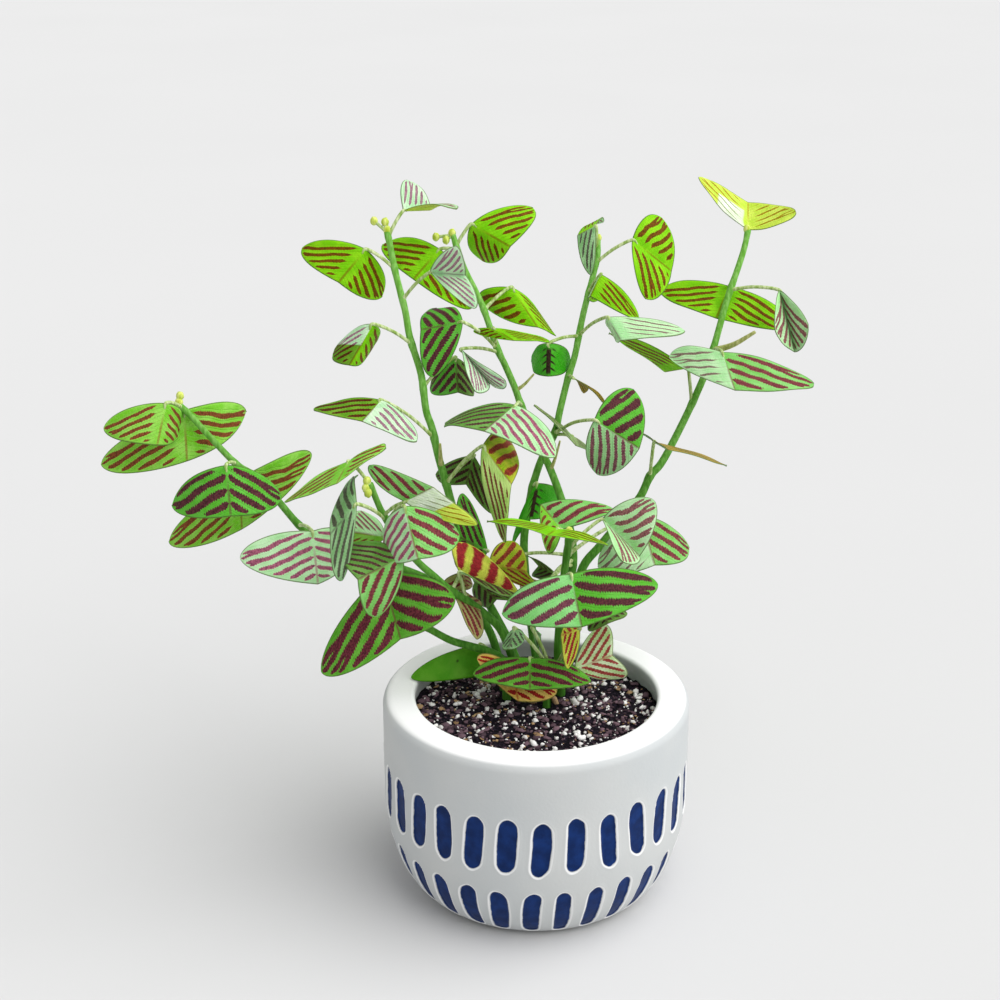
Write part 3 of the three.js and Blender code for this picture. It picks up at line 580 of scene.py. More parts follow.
def band_marks(s, place, pattern):
    """How far a point is inside a band, how far on the pale line beside one, and its band."""
    first, spacing, half_width, begin, comb, last = pattern
    bent = place.along * place.along * -BAND_BEND + place.along
    own_slant = s.math("SINE", place.seed * 9.0) * 0.1 + BAND_SLANT
    waver = s.noise(place.fine, 0.1, 1.0) * 0.14 - 0.07
    origin = place.down - bent * own_slant + waver
    turn = (origin - first) / spacing
    number = s.math("ROUND", turn)
    offset = abs(turn - number)

    # a band forks towards the wing tip, at a place of its own
    own = s.vector(number * 3.7, place.seed * 91.0, 0.5)
    fork_start = s.noise(own, 1.0, 0.0) * 1.1 + 0.15
    split = s.math("MAXIMUM", (place.along - fork_start) * 0.9, 0.0)
    split = s.math("MINIMUM", split, FORK_REACH)
    offset = abs(offset - split)

    # toothed edges, a taper at the midrib and another at the margin
    start = s.ramp(place.along, *begin)
    stop = s.ramp(place.margin, *BAND_STOP)
    phase = place.along_mm * (math.tau / COMB_STEP) + place.fine_noise * 5.0
    teeth = s.math("SINE", phase) * (comb * 0.5)
    ragged = s.noise(place.fine, 0.5, 1.0) * 0.7 + 0.65
    forked = split * -1.9 + 1.0
    gap = offset - start * stop * half_width * forked * (ragged + teeth)
    end = last + 0.5
    counted = s.ramp(turn, -0.6, -0.4) * s.ramp(turn, end + 0.1, end - 0.1)
    band = s.ramp(gap, 0.035, -0.02) * counted
    return band, s.ramp(gap, 0.14, 0.05) * start * stop * counted, turn


def rib_marks(s, place):
    """The same for a leaf that is dark only along its midrib, with short side marks."""
    turn = (place.along * -BAND_SLANT + place.down) / RIB_STEP
    offset = abs(s.math("FRACT", turn) - 0.5)
    side = s.ramp(offset, 0.22, 0.1) * s.ramp(place.along_mm, 3.6, 1.6)
    band = s.math("MAXIMUM", side, s.ramp(place.along_mm, 1.1, 0.7))
    band = band * s.ramp(place.down, 0.12, 0.22) * s.ramp(place.margin, 0.3, 1.6)
    return band, 0.0, turn


def leaf_material(name):
    s = Shader("leaf_" + name)
    place = LeafPlace(s)
    ground, light, band_colour, band_dark = leaf_palette(s, name, place)
    first_tone = PATCHES[name]["tones"][0] if name in PATCHES else name
    pattern = TONES[first_tone][4]
    banded = pattern != "midrib"
    band, beside, turn = band_marks(s, place, PATTERNS[pattern]) if banded else rib_marks(s, place)

    # veins: one between two bands, and a fine net
    vein = s.ramp(abs(s.math("FRACT", turn) - 0.5), 0.09, 0.0)
    lit = s.math("MAXIMUM", vein * 0.5, place.net * 0.45)
    lit = s.math("MAXIMUM", lit, beside * 0.55)
    colour = s.mix(s.ramp(place.broad_noise, 0.36, 0.68), ground, light)
    colour = s.mix(s.ramp(place.fine_noise, 0.55, 0.35) * 0.22, colour, ground)
    colour = s.mix(lit, colour, light)
    shade = s.mix(s.ramp(place.fine_noise, 0.35, 0.62), band_dark, band_colour)
    colour = s.mix(band, colour, shade)
    if banded:
        rib_colour = s.mix(s.ramp(place.down, 0.15, 0.6), light, band_colour)
        colour = s.mix(s.ramp(place.along_mm, *MIDRIB_LINE) * 0.6, colour, rib_colour)
    inner_line = s.ramp(place.margin, *INNER_LINE[0]) * s.ramp(place.margin, *INNER_LINE[1])
    colour = s.mix(inner_line * 0.45, colour, light)
    rim = s.ramp(place.margin, *RIM_LINE) * 0.8
    colour = s.mix(rim, colour, s.shades(place.fine_noise, "leaf_rim"))
    height = vein * VEIN_DEPTHS["vein"] + place.net * VEIN_DEPTHS["net"]
    height = height + place.fine_noise * VEIN_DEPTHS["grain"]
    return s.finish(colour, place.fine_noise * 0.2 + 0.42, SHEEN, height, 0.00018)


def plain_leaf_material():
    """A leaf without bands, with a few dark specks."""
    ground, light, speck_colour, dark, _ = TONES["plain"]
    s = Shader("leaf_plain")
    place = LeafPlace(s)
    cells = {"Vector": place.fine, "Scale": LEAF_TEXTURE["specks"]}
    speck = s.ramp(s.node("ShaderNodeTexVoronoi", cells), 0.2, 0.1)
    colour = s.mix(s.ramp(place.broad_noise, 0.3, 0.7), linear(ground), linear(light))
    colour = s.mix(place.net * 0.2, colour, linear(light))
    colour = s.mix(speck * s.ramp(place.along, 0.45, 0.3), colour, linear(speck_colour))
    colour = s.mix(s.ramp(place.margin, *RIM_LINE) * 0.6, colour, linear(dark))
    return s.finish(colour, 0.45, SHEEN, place.fine_noise, 0.00012)


STEM_LIGHT = (0.09, 0.2)  # a stem's heights, in metres, between its dark and light parts


def grown_material(name):
    """Stems, stalks, twigs and buds: two shades in fine lengthwise streaks."""
    s = Shader(name)
    flat = {0: s.place(), 1: (1.0, 1.0, 0.12)}
    stretched = s.node("ShaderNodeVectorMath", flat, operation="MULTIPLY")
    streaks = s.noise(stretched, 1100.0, 3.0)
    share = s.ramp(streaks, 0.3, 0.75)
    colour = s.shades(share, name)
    if name == "stem":
        colour = s.mix(s.ramp(s.height(), *STEM_LIGHT), colour, s.shades(share, "stem_top"))
    return s.finish(colour, 0.5, SHEEN, streaks, 0.00015)


def grain_material(name, roughness):
    """Loose grains: a shade of its own for each grain, and a rough surface."""
    s = Shader(name)
    shade = s.attribute("grain")[0]
    rough = s.noise(s.place(), 700.0, 4.0)
    colour = s.shades(shade * 0.75 + rough * 0.3, name)
    return s.finish(colour, roughness, EARTH_SHEEN, rough, 0.0003)


def soil_material():
    s = Shader("soil_bed")
    crumbs = s.noise(s.place(), 900.0, 5.0)
    clods = s.noise(s.place(), 260.0, 2.0)
    colour = s.shades(s.ramp(crumbs, 0.4, 0.75), "soil")
    return s.finish(colour, 0.95, EARTH_SHEEN, crumbs + clods * 2.0, 0.0012)


RIM_HIGHLIGHT_HEIGHTS = (0.0698, 0.0708)  # in metres; above them the rim's top is painted whiter, a painted highlight


def pot_material():
    """Pale glaze, greyer on the wall as painted shade and whiter on the rim's top as a painted highlight,
    and cobalt glaze inside the dashes.
    """
    s = Shader("pot_glaze")
    outside = s.attribute("dash")[0]
    place = s.place()
    cloud = s.noise(place, 22.0, 3.0)
    grain = s.noise(place, 900.0, 3.0)
    edge = outside + (s.noise(place, 420.0) * 0.5 - 0.25)
    painted = s.ramp(edge, 0.12, -0.12)
    pale = s.shades(s.ramp(cloud, 0.3, 0.7), "glaze")
    ring = s.ramp(outside, 0.1, 0.3) * s.ramp(outside, 1.05, 0.55)
    pale = s.mix(ring * 0.8, pale, linear(COLOURS["rim"][0]))
    # painted highlight: the rim's top is painted whiter than the wall's glaze
    pale = s.mix(s.ramp(s.height(), *RIM_HIGHLIGHT_HEIGHTS), pale, s.shades(cloud, "rim"))
    blue = s.shades(s.ramp(s.noise(place, 260.0, 3.0), 0.3, 0.75), "cobalt")
    colour = s.mix(painted, pale, blue)
    return s.finish(colour, painted * -0.12 + 0.55, GLAZE_SHEEN, grain, 0.00006)


def floor_material():
    s = Shader("floor_pale")
    cloud = s.noise(s.place(), 3.0)
    return s.finish(s.shades(cloud, "floor"), 0.9, 0.0)


# ------------------------------------------------------------------ mesh building


class Mesh:
    """Points, faces with a material each, and numbers kept for each face corner."""

    def __init__(self):
        self.points = []
        self.faces = []
        self.materials = []
        self.corner_values = {}

    def point(self, place):
        self.points.append(place * MM)
        return len(self.points) - 1

    def face(self, corners, material=0, **values):
        """values: for each attribute, one triple for every corner of the face."""
        self.faces.append(corners)
        self.materials.append(material)
        for name, triples in values.items():
            self.corner_values.setdefault(name, []).extend(triples)

    def loft(self, rings, low, high, material=0, **values):
        """Closes rings, and a point at each end; values has one triple for each attribute."""

        def add(*corners):
            repeated = {key: [triple] * len(corners) for key, triple in values.items()}
            self.face(corners, material, **repeated)

        for k in range(len(rings[0])):
            after = (k + 1) % len(rings[0])
            for lower, upper in zip(rings, rings[1:]):
                add(lower[k], lower[after], upper[after], upper[k])
            add(low, rings[0][after], rings[0][k])
            add(high, rings[-1][k], rings[-1][after])

    def build(self, name, materials, nodes):
        mesh = bpy.data.meshes.new(name)
        mesh.from_pydata(self.points, [], self.faces)
        for material in materials:
            mesh.materials.append(material)
        mesh.polygons.foreach_set("material_index", self.materials)
        mesh.polygons.foreach_set("use_smooth", [True] * len(self.faces))
        for key, triples in self.corner_values.items():
            attribute = mesh.attributes.new(key, "FLOAT_VECTOR", "CORNER")
            attribute.data.foreach_set("vector", [v for triple in triples for v in triple])
        mesh.update()
        piece = bpy.data.objects.new(name, mesh)
        bpy.context.scene.collection.objects.link(piece)
        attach(piece, "root")
        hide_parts(*nodes)


def catmull_rom(points, steps):
    """A smooth path through the points."""
    path = []
    padded = [points[0] * 2 - points[1], *points, points[-1] * 2 - points[-2]]
    for i in range(len(points) - 1):
        p0, p1, p2, p3 = padded[i:i + 4]
        for k in range(steps):
            t = k / steps
            path.append(0.5 * (
                2 * p1 + (p2 - p0) * t
                + (2 * p0 - 5 * p1 + 4 * p2 - p3) * t ** 2
                + (3 * p1 - p0 - 3 * p2 + p3) * t ** 3
            ))
    path.append(points[-1].copy())
    return path


def add_tube(mesh, path, radii, sides, material=0, **values):
    """A closed tube with rounded ends along a path, with a radius for each point."""
    rings = []
    reference = Vector((0.31, 0.95, 0.05)).normalized()
    for i, centre in enumerate(path):
        before = path[max(i - 1, 0)]
        after = path[min(i + 1, len(path) - 1)]
        along = (after - before).normalized()
        reference = (reference - along * reference.dot(along)).normalized()
        other = along.cross(reference)
        ring = []
        for k in range(sides):
            turn = 2 * math.pi * k / sides
            spoke = reference * math.cos(turn) + other * math.sin(turn)
            ring.append(mesh.point(centre + spoke * radii[i]))
        rings.append(ring)
    low = mesh.point(path[0] - (path[1] - path[0]).normalized() * radii[0] * 0.5)
    high = mesh.point(path[-1] + (path[-1] - path[-2]).normalized() * radii[-1] * 0.5)
    mesh.loft(rings, low, high, material, **values)


def ball_rings(sides, levels, put):
    """Rings from the bottom of a ball to its top; put makes the point of a direction."""
    rings = []
    for i in range(1, levels):
        tilt = math.pi * i / levels
        ring = []
        for k in range(sides):
            turn = 2 * math.pi * k / sides
            flat = Vector((math.cos(turn), math.sin(turn), 0)) * math.sin(tilt)
            ring.append(put(flat - Vector((0, 0, math.cos(tilt)))))
        rings.append(ring)
    return rings


# ------------------------------------------------------------------------- leaves

WING_COLUMNS = 30
WING_ROWS = 18
BLADE_HALF_THICKNESS = 0.2
RIPPLE = 0.022  # of the wing's length, at the margin
FOLD_SHARE = 0.12  # of a wing, over which its face turns into the midrib's
EDGE = {"width": 0.3, "least": 0.25}  # where a blade thins, in mm, and to what share
SEEDS = {"step": 0.618, "range": 7, "wing": 0.37, "stem": 11}  # spread over the leaves


def near_margin(share):
    inner, outer = BLADE["near_powers"]
    return BLADE["tip_share"] * (1 - (1 - share ** inner) ** outer)


def far_margin(share):
    inner, outer = BLADE["far_powers"]
    return BLADE["tip_share"] + BLADE["far_bulge"] * (1 - share ** inner) ** outer


def lean(seen, true_length, amount):
    """How far back a part leans that looks shorter than it is, times an amount."""
    return amount * math.sqrt(max(0.0, true_length ** 2 - seen ** 2))


def blade_frame(leaf):
    """The joint, the midrib and the two wings of a leaf, in millimetres."""
    joint, notch, tips, reach = leaf[1], leaf[2], leaf[3:5], leaf[5]
    start = at(*joint)
    midrib_flat = at(notch[0], notch[1], joint[2]) - start
    midrib_lean = lean(midrib_flat.length, reach * BLADE["midrib_length"], notch[2])
    midrib = at(notch[0], notch[1], joint[2] + midrib_lean) - start
    wings = []
    for tip in tips:
        tip_away = joint[2] + BLADE["tip_share"] * midrib_lean
        flat = at(tip[0], tip[1], tip_away) - start - midrib * BLADE["tip_share"]
        wing_lean = lean(flat.length, reach * BLADE["wing_length"], tip[2])
        tip_point = at(tip[0], tip[1], tip_away + wing_lean)
        wings.append(tip_point - start - midrib * BLADE["tip_share"])
    return start, midrib, wings


def add_blade(mesh, leaf, seed, tone_numbers):
    """A leaf: two arched and rippled wings that meet at the midrib, as one closed body."""
    start, midrib, wings = blade_frame(leaf)
    normals = [wings[0].cross(midrib).normalized(), midrib.cross(wings[1]).normalized()]
    middle_normal = (normals[0] + normals[1]).normalized()
    arch_side = -1 if middle_normal.z < 0 else 1
    own_arch = leaf[7] if len(leaf) > 7 else BLADE["arch"]
    columns = [math.sin(i / WING_COLUMNS * math.pi / 2) for i in range(WING_COLUMNS + 1)]
    words = leaf[6].split()
    middle = {}
    for side, tone in enumerate([words[0], words[-1]]):
        wing = wings[side]
        wing_length = wing.length
        other_tone = BACK_OF_PALE if tone in PALE_AND_SHEEN_TONES else BACK_OF_OTHER
        grid = []
        for i, share in enumerate(columns):
            near, far = near_margin(share), far_margin(share)
            column = []
            for j in range(WING_ROWS + 1):
                t = j / WING_ROWS
                down = near + (far - near) * t
                arch = 4 * own_arch * share * (1 - share) * wing_length * arch_side
                wave = math.sin(share * 7 + seed * 5 + side * 2) * (2 * t - 1) ** 3 * share
                fold = noise.noise(Vector((share * 2.5, down * 2.5, seed * 9 + side)))
                bump = (wave * RIPPLE + fold * RIPPLE * share) * wing_length
                centre = start + wing * share + midrib * down + normals[side] * (arch + bump)
                blend = min(1.0, share / FOLD_SHARE)
                normal = (middle_normal.lerp(normals[side], blend)).normalized()
                margin = min(t, 1 - t) * (far - near) * midrib.length
                edge_fade = min(1.0, margin / EDGE["width"] + EDGE["least"])
                half = BLADE_HALF_THICKNESS * edge_fade
                if i == 0 and side == 1:
                    front, back = middle[j]
                else:
                    front = mesh.point(centre + normal * half)
                    back = mesh.point(centre - normal * half)
                if i == 0 and side == 0:
                    middle[j] = (front, back)
                facts = (
                    (share, down, seed + SEEDS["wing"] * side),
                    (margin, share * wing_length, down * midrib.length),
                )
                column.append((front, back, facts))
            grid.append(column)
        # The face turned to the front takes the row's tone; a pale tone there is partly the paler underside
        # and partly painted sheen.
        middle_place = start + wing * 0.5 + midrib * 0.5
        front_shown = normals[side].dot(eye - middle_place) > 0
        tones = (tone, other_tone) if front_shown else (other_tone, tone)
        numbers = [tone_numbers[word] for word in tones]
        add_wing_faces(mesh, grid, side, numbers)


def add_wing_faces(mesh, grid, side, numbers):
    def put(cells, layer, material):
        blades = [cell[2][0] for cell in cells]
        gauges = [cell[2][1] for cell in cells]
        corners = [cell[layer] for cell in cells]
        mesh.face(corners, material, blade=blades, gauge=gauges)

    last = len(grid) - 1
    rows = len(grid[0]) - 1
    for i in range(last):
        for j in range(rows):
            cells = [grid[i][j], grid[i + 1][j], grid[i + 1][j + 1], grid[i][j + 1]]
            if side == 1:
                cells.reverse()
            put(cells, 0, numbers[0])
            put(cells[::-1], 1, numbers[1])
    outline = [column[0] for column in grid]
    outline += grid[last][1:]
    outline += [column[rows] for column in reversed(grid[:last])]
    for first, second in zip(outline, outline[1:]):
        pair = [first, second] if side == 0 else [second, first]
        corners = [pair[0][0], pair[0][1], pair[1][1], pair[1][0]]
        blades = [pair[0][2][0]] * 2 + [pair[1][2][0]] * 2
        gauges = [pair[0][2][1]] * 2 + [pair[1][2][1]] * 2
        mesh.face(corners, numbers[0], blade=blades, gauge=gauges)


# -------------------------------------------------------------------------- stems


def stem_line(stem):
    """A stem's buried end, its place above the soil, and its route in space and on the sheet."""
    x, y = stem["foot"]
    ground = Vector((x, y, SOIL_LEVEL + STEM["straight"]))
    rising = [Vector(point) for point in reversed(stem["route"])]
    lengths = [0.0]
    for before, after in zip(rising, rising[1:]):
        lengths.append(lengths[-1] + (after - before).length)
    whole = lengths[-1] + STEM["unseen"]
    ground_away = away_of(ground)
    above = []
    for point, length in zip(rising, lengths):
        share = (length + STEM["unseen"]) / whole
        away = ground_away + (stem["top_away"] - ground_away) * share
        above.append(at(point.x, point.y, away))
    buried = Vector((x, y, SOIL_LEVEL - STEM["buried"]))
    return buried, ground, above, rising


def stem_point(above, rising, place):
    """The point of a stem that stands nearest to a point of the sheet."""
    best_gap, best = math.inf, None
    for i in range(len(rising) - 1):
        run = rising[i + 1] - rising[i]
        share = (Vector(place) - rising[i]).dot(run) / run.length_squared
        share = min(1.0, max(0.0, share))
        gap = (rising[i] + run * share - Vector(place)).length
        if gap < best_gap:
            best_gap, best = gap, above[i].lerp(above[i + 1], share)
    return best


STALK_RADIUS = 0.62
STALK_END = 0.14  # how far a stalk runs on into its blade, as a share of the midrib
TUBE_STEPS = 8  # from one point of a stalk's or twig's route to the next


def add_stalk(mesh, above, rising, leaf, material):
    root = stem_point(above, rising, leaf[0])
    start, midrib, _ = blade_frame(leaf)
    middle = root.lerp(start, 0.5)
    middle.z += STALK["rise"] * (start - root).length
    path = catmull_rom([root, middle, start, start + midrib * STALK_END], TUBE_STEPS)
    radii = []
    for i in range(len(path)):
        share = i / (len(path) - 1)
        swelling = 0.45 * max(0.0, 1 - share * 9)
        thinning = 0.5 * max(0.0, share * 3 - 2)
        radii.append(STALK_RADIUS * (1 + swelling - thinning))
    add_tube(mesh, path, radii, 10, material)


def add_knob(mesh, centre, radius, material, seed):
    """A bud: a small lumpy pear."""

    def put(spoke):
        spoke.z *= BUD_LENGTH
        lump = 1 + BUD_LUMPS["height"] * noise.noise(spoke * BUD_LUMPS["scale"] + Vector((seed, 0, 0)))
        return mesh.point(centre + spoke * radius * lump)

    rings = ball_rings(12, 8, put)
    end = Vector((0, 0, radius * BUD_LENGTH))
    mesh.loft(rings, mesh.point(centre - end), mesh.point(centre + end), material)


STEM_MATERIALS = ("stem", "stalk", "bud", "twig")
KNOT = {"reach": 2.5, "between": 0.92, "swelling": 0.16}  # reach in mm, radii as shares
TWIG_RADIUS = 0.75
TWIG_TAPER = 0.55
BUD_RADIUS = 1.35
BUD_LENGTH = 1.15  # as a share of its width
BUD_LUMPS = {"height": 0.18, "scale": 2.2}
BUD_STALK_RADII = (0.7, 0.6, 0.6)


def make_stalks(stem, materials):
    """A stem with its stalks, twigs and buds."""
    mesh = Mesh()
    buried, ground, above, rising = stem_line(stem)
    path = [buried] + catmull_rom([ground, *above], 5)
    low, high = stem["radius"]
    knots = [stem_point(above, rising, leaf[0]) for leaf in stem["leaves"]]
    radii = []
    for i, place in enumerate(path):
        radius = low + (high - low) * i / (len(path) - 1)
        nearest = min((place - knot).length for knot in knots)
        swelling = KNOT["swelling"] * max(0.0, 1 - nearest / KNOT["reach"])
        radii.append(radius * (KNOT["between"] + swelling))
    add_tube(mesh, path, radii, 16, STEM_MATERIALS.index("stem"))
    for leaf in stem["leaves"]:
        add_stalk(mesh, above, rising, leaf, STEM_MATERIALS.index("stalk"))
    for root, end, thickness in stem.get("twigs", []):
        foot = stem_point(above, rising, root)
        tip = at(*end)
        middle = foot.lerp(tip, 0.5)
        middle.z -= TWIG["sag"] * (tip - foot).length
        twig_path = catmull_rom([foot, middle, tip], TUBE_STEPS)
        last = len(twig_path) - 1
        widths = [TWIG_RADIUS * thickness * (1 - TWIG_TAPER * k / last) for k in range(last + 1)]
        add_tube(mesh, twig_path, widths, 8, STEM_MATERIALS.index("twig"))
    top = above[-1]
    for k, (across, down) in enumerate(stem.get("buds", [])):
        place = at(across, down, stem["top_away"])
        add_knob(mesh, place, BUD_RADIUS, STEM_MATERIALS.index("bud"), k)
        if (place - top).length > BUD_RADIUS:
            stalk = [top, top.lerp(place, 0.5), place]
            add_tube(mesh, stalk, BUD_STALK_RADII, 8, STEM_MATERIALS.index("stalk"))
    listed = [materials[name] for name in STEM_MATERIALS]
    mesh.build(stem["name"] + "_stalks", listed, [stem["name"]])


DRY_STUB = [(557, 705, 8), (554, 699, 8), (550, 694, 7)]  # on the sheet, with distance away
DRY_STUB_RADII = (0.9, 1.1, 0.8)
DRY_STUB_SHADE = 0.9  # from the husk's dark shade, 0, to its light one, 1


def make_dry_stub(material):
    """The dry end of an old stem, beside the youngest shoot."""
    mesh = Mesh()
    path = catmull_rom([at(*place) for place in DRY_STUB], 1)
    add_tube(mesh, path, DRY_STUB_RADII, 10, grain=(DRY_STUB_SHADE, 0, 0))
    mesh.build("dry_stub", [material], ["stem_basal"])


def make_leaves(stem, materials, number):
    mesh = Mesh()
    names = [*TONES, *PATCHES]
    tone_numbers = {name: i for i, name in enumerate(names)}
    for k, leaf in enumerate(stem["leaves"]):
        spread = (number * SEEDS["stem"] + k) * SEEDS["step"] % 1.0
        add_blade(mesh, leaf, spread * SEEDS["range"] + 1, tone_numbers)
    used = sorted(set(mesh.materials))
    mesh.materials = [used.index(tone) for tone in mesh.materials]
    listed = [materials["leaf_" + names[tone]] for tone in used]
    mesh.build(stem["name"] + "_leaves", listed, [stem["name"]])


# ---------------------------------------------------------------------------- pot

DASH_STEPS = 22  # columns of facets to each dash and the gap beside it
DASH_LEAN = (2.2, 0.8)  # most that a dash leans, in degrees round the pot, and shifts in mm
DASH_WIDTHS = (0.92, 1.1)  # narrowest and widest dash
DASH_TAPER = (0.2, 0.25)  # how much narrower its ends are, and how much more on one side
DASH_EDGE = {"slope": 0.8, "raised": 0.15, "ridge": 0.75, "spread": 0.45}  # in mm
FAR = 9.0  # a distance from every dash, in mm
PROFILE = {"low": 0.6, "high": 54, "calm": 60, "step": 0.55, "foot": 5, "foot_step": 0.34}
INSIDE_DEPTH = 7  # from the soil down to the scene's floor of the pot


def pot_radius(height):
    if height >= POT["belly_height"]:
        return POT["radius"]
    down = 1 - height / POT["belly_height"]
    share = (1 - down ** POT["belly_power"]) ** (1 / POT["belly_power"])
    return POT["foot_radius"] + (POT["radius"] - POT["foot_radius"]) * share


def dash_distance(row, cell, angle, height):
    """Signed distance in mm from a dash's outline, below 0 inside it; ends are round."""
    draw = random.Random(f"{row['top']} {cell}")
    tilt = draw.uniform(-1, 1) * DASH_LEAN[0]
    shift = draw.uniform(-1, 1) * DASH_LEAN[1]
    middle = (row["top"] + row["bottom"]) / 2 + shift
    half_height = (row["top"] - row["bottom"]) / 2
    along = (height - middle) / half_height
    radius = pot_radius(height)
    half_width = math.radians(DASH["half_turn"]) * radius * draw.uniform(*DASH_WIDTHS)
    x = math.radians(angle - tilt * along * 0.5) * radius
    x += DASH_TAPER[1] * draw.uniform(-1, 1) * abs(along) ** 3 * half_width
    x /= 1 - DASH_TAPER[0] * min(1.0, abs(along)) ** 3
    slope = pot_radius(height + 0.5) - pot_radius(height - 0.5)
    stretch = math.sqrt(1 + slope ** 2)
    y = max(0.0, abs(height - middle) - half_height + half_width / stretch) * stretch
    wobble = 0.22 * noise.noise(Vector((angle * 0.4, height * 0.16, cell * 3.1)))
    return math.hypot(x, y) - half_width + wobble


def dash_relief(distance):
    """How far the wall stands in or out at a distance from a dash's outline."""
    sunk = min(1.0, max(0.0, 0.5 - distance / DASH_EDGE["slope"]))
    raised = math.exp(-((distance - DASH_EDGE["ridge"]) / DASH_EDGE["spread"]) ** 2)
    return DASH_EDGE["raised"] * raised - DASH["depth"] * sunk


def rounded(middle, radius, first, last, step):
    """Profile points round an edge of the rim, between two angles in degrees."""
    points = []
    for degrees in range(first, last + 1, step):
        turn = math.radians(degrees)
        height = POT["height"] - radius + radius * math.sin(turn)
        points.append((middle + radius * math.cos(turn), height, False))
    return points


def pot_levels():
    """Profile points: radius, height, and whether dashes can reach there."""
    inner = POT["radius"] - POT["wall"]
    levels = [(0.0, 0.0, False), (POT["foot_radius"] * 0.9, 0.0, False)]
    levels.append((POT["foot_radius"], 0.15, False))
    height = PROFILE["low"]
    while height < PROFILE["high"]:
        levels.append((pot_radius(height), height, True))
        height += PROFILE["foot_step"] if height < PROFILE["foot"] else PROFILE["step"]
    levels.append((POT["radius"], PROFILE["calm"], False))
    levels += rounded(POT["radius"] - POT["rim_round"], POT["rim_round"], 0, 90, 10)
    levels += rounded(inner - POT["lip"] + POT["lip_round"], POT["lip_round"], 90, 180, 15)
    levels.append((inner - POT["lip"] * 0.6, POT["height"] - 4.2, False))
    levels.append((inner, SOIL_LEVEL + 1.5, False))
    levels.append((inner, SOIL_LEVEL - INSIDE_DEPTH + 1, False))
    levels.append((inner - 3, SOIL_LEVEL - INSIDE_DEPTH, False))
    levels.append((0.0, SOIL_LEVEL - INSIDE_DEPTH, False))
    return levels


def make_pot(material):
    """The turned pot, with each point of its wall moved in or out by the dashes."""
    mesh = Mesh()
    pitch = 360 / DASH["count"]
    columns = DASH["count"] * DASH_STEPS
    rings = []
    for radius, height, dashed in pot_levels():
        if radius == 0:
            rings.append([(mesh.point(Vector((0, 0, height))), (FAR, 0, 0))])
            continue
        ring = []
        for k in range(columns):
            turn = 360 * k / columns
            distance = FAR
            if dashed:
                for row in DASH["rows"]:
                    cell = round(turn / pitch - row["shift"])
                    local = turn - (cell + row["shift"]) * pitch
                    found = dash_distance(row, cell % DASH["count"], local, height)
                    distance = min(distance, found)
            angle = math.radians(turn + POT["turn"])
            out = radius + dash_relief(distance)
            place = Vector((out * math.sin(angle), -out * math.cos(angle), height))
            ring.append((mesh.point(place), (distance, 0, 0)))
        rings.append(ring)
    for lower, upper in zip(rings, rings[1:]):
        for k in range(columns):
            after = (k + 1) % columns
            if len(lower) == 1:
                cells = [lower[0], upper[after], upper[k]]
            elif len(upper) == 1:
                cells = [lower[k], lower[after], upper[0]]
            else:
                cells = [lower[k], lower[after], upper[after], upper[k]]
            mesh.face([cell[0] for cell in cells], dash=[cell[1] for cell in cells])
    mesh.build("pot_body", [material], ["pot"])


# --------------------------------------------------------------------------- soil

# Loose grains: how many, least and greatest size in mm, and how flat they are.
PERLITE = {"count": 760, "sizes": (0.3, 1.4), "flat": (0.5, 0.9), "seed": 3}
BARK = {"count": 1500, "sizes": (0.45, 1.6), "flat": (0.2, 0.5), "seed": 5}
HUSKS = {"count": 260, "sizes": (0.45, 1.6), "flat": (0.15, 0.35), "seed": 8}
GRAIN_LUMPS = {"height": 0.7, "scale": 1.7}
GRAIN_LIFT = 0.35  # how far a grain stands out, as a share of its height
STEM_CLEARANCE = 2.2


def soil_height(x, y):
    reach, calm_x, calm_y = SOIL["calm"]
    broad = math.sin(x * 0.55 + 1.3) * math.cos(y * 0.62)
    small = math.sin(x * 1.1 - y * 0.9)
    share = min(1.0, max(0.0, (math.hypot(x - calm_x, y - calm_y) - reach) / 8))
    crumb = noise.noise(Vector((x * 0.9, y * 0.9, 4.0))) * 0.35
    return SOIL_LEVEL + SOIL["lump"] * (0.5 * broad + 0.3 * small) * share + crumb


def make_soil(material):
    mesh = Mesh()
    outer = POT["radius"] - POT["wall"] - SOIL["clearance"]
    bottom = SOIL_LEVEL - 5
    rings_count, sides = 56, 180

    def ring(radius, level=None):
        """Points round the middle, at a level or else on the lumps."""
        points = []
        for k in range(sides):
            turn = 2 * math.pi * k / sides
            x, y = radius * math.cos(turn), radius * math.sin(turn)
            points.append(mesh.point(Vector((x, y, level or soil_height(x, y)))))
        return points

    top = mesh.point(Vector((0, 0, soil_height(0, 0))))
    rings = [ring(outer * i / rings_count) for i in range(1, rings_count + 1)]
    rings.append(ring(outer, bottom))
    mesh.loft(rings[::-1], mesh.point(Vector((0, 0, bottom))), top)
    mesh.build("soil_bed", [material], ["soil"])


def scatter(count, source, margin):
    """Places on the soil, clear of the stems' feet."""
    feet = [Vector(stem["foot"]) for stem in STEMS]
    outer = POT["radius"] - POT["wall"] - SOIL["clearance"] - margin
    places = []
    while len(places) < count:
        radius = outer * math.sqrt(source.random())
        turn = source.uniform(0, 2 * math.pi)
        place = Vector((radius * math.cos(turn), radius * math.sin(turn)))
        if min((place - foot).length for foot in feet) > STEM_CLEARANCE + margin:
            places.append(place)
    return places


def add_grain(mesh, centre, size, stretch, turn, shade, source):
    """A rough lump: a small faceted ball, stretched and made uneven."""
    seed = Vector((source.uniform(0, 50), 0, 0))
    rotation = Matrix.Rotation(turn, 3, "Z") @ Matrix.Rotation(source.uniform(-0.5, 0.5), 3, "X")

    def put(spoke):
        lump = 1 + GRAIN_LUMPS["height"] * noise.noise(spoke * GRAIN_LUMPS["scale"] + seed)
        local = Vector([spoke[i] * stretch[i] for i in range(3)]) * size * lump
        return mesh.point(centre + rotation @ local)

    up = Vector((0, 0, 1))
    mesh.loft(ball_rings(7, 5, put), put(-up), put(up), grain=(shade, 0, 0))


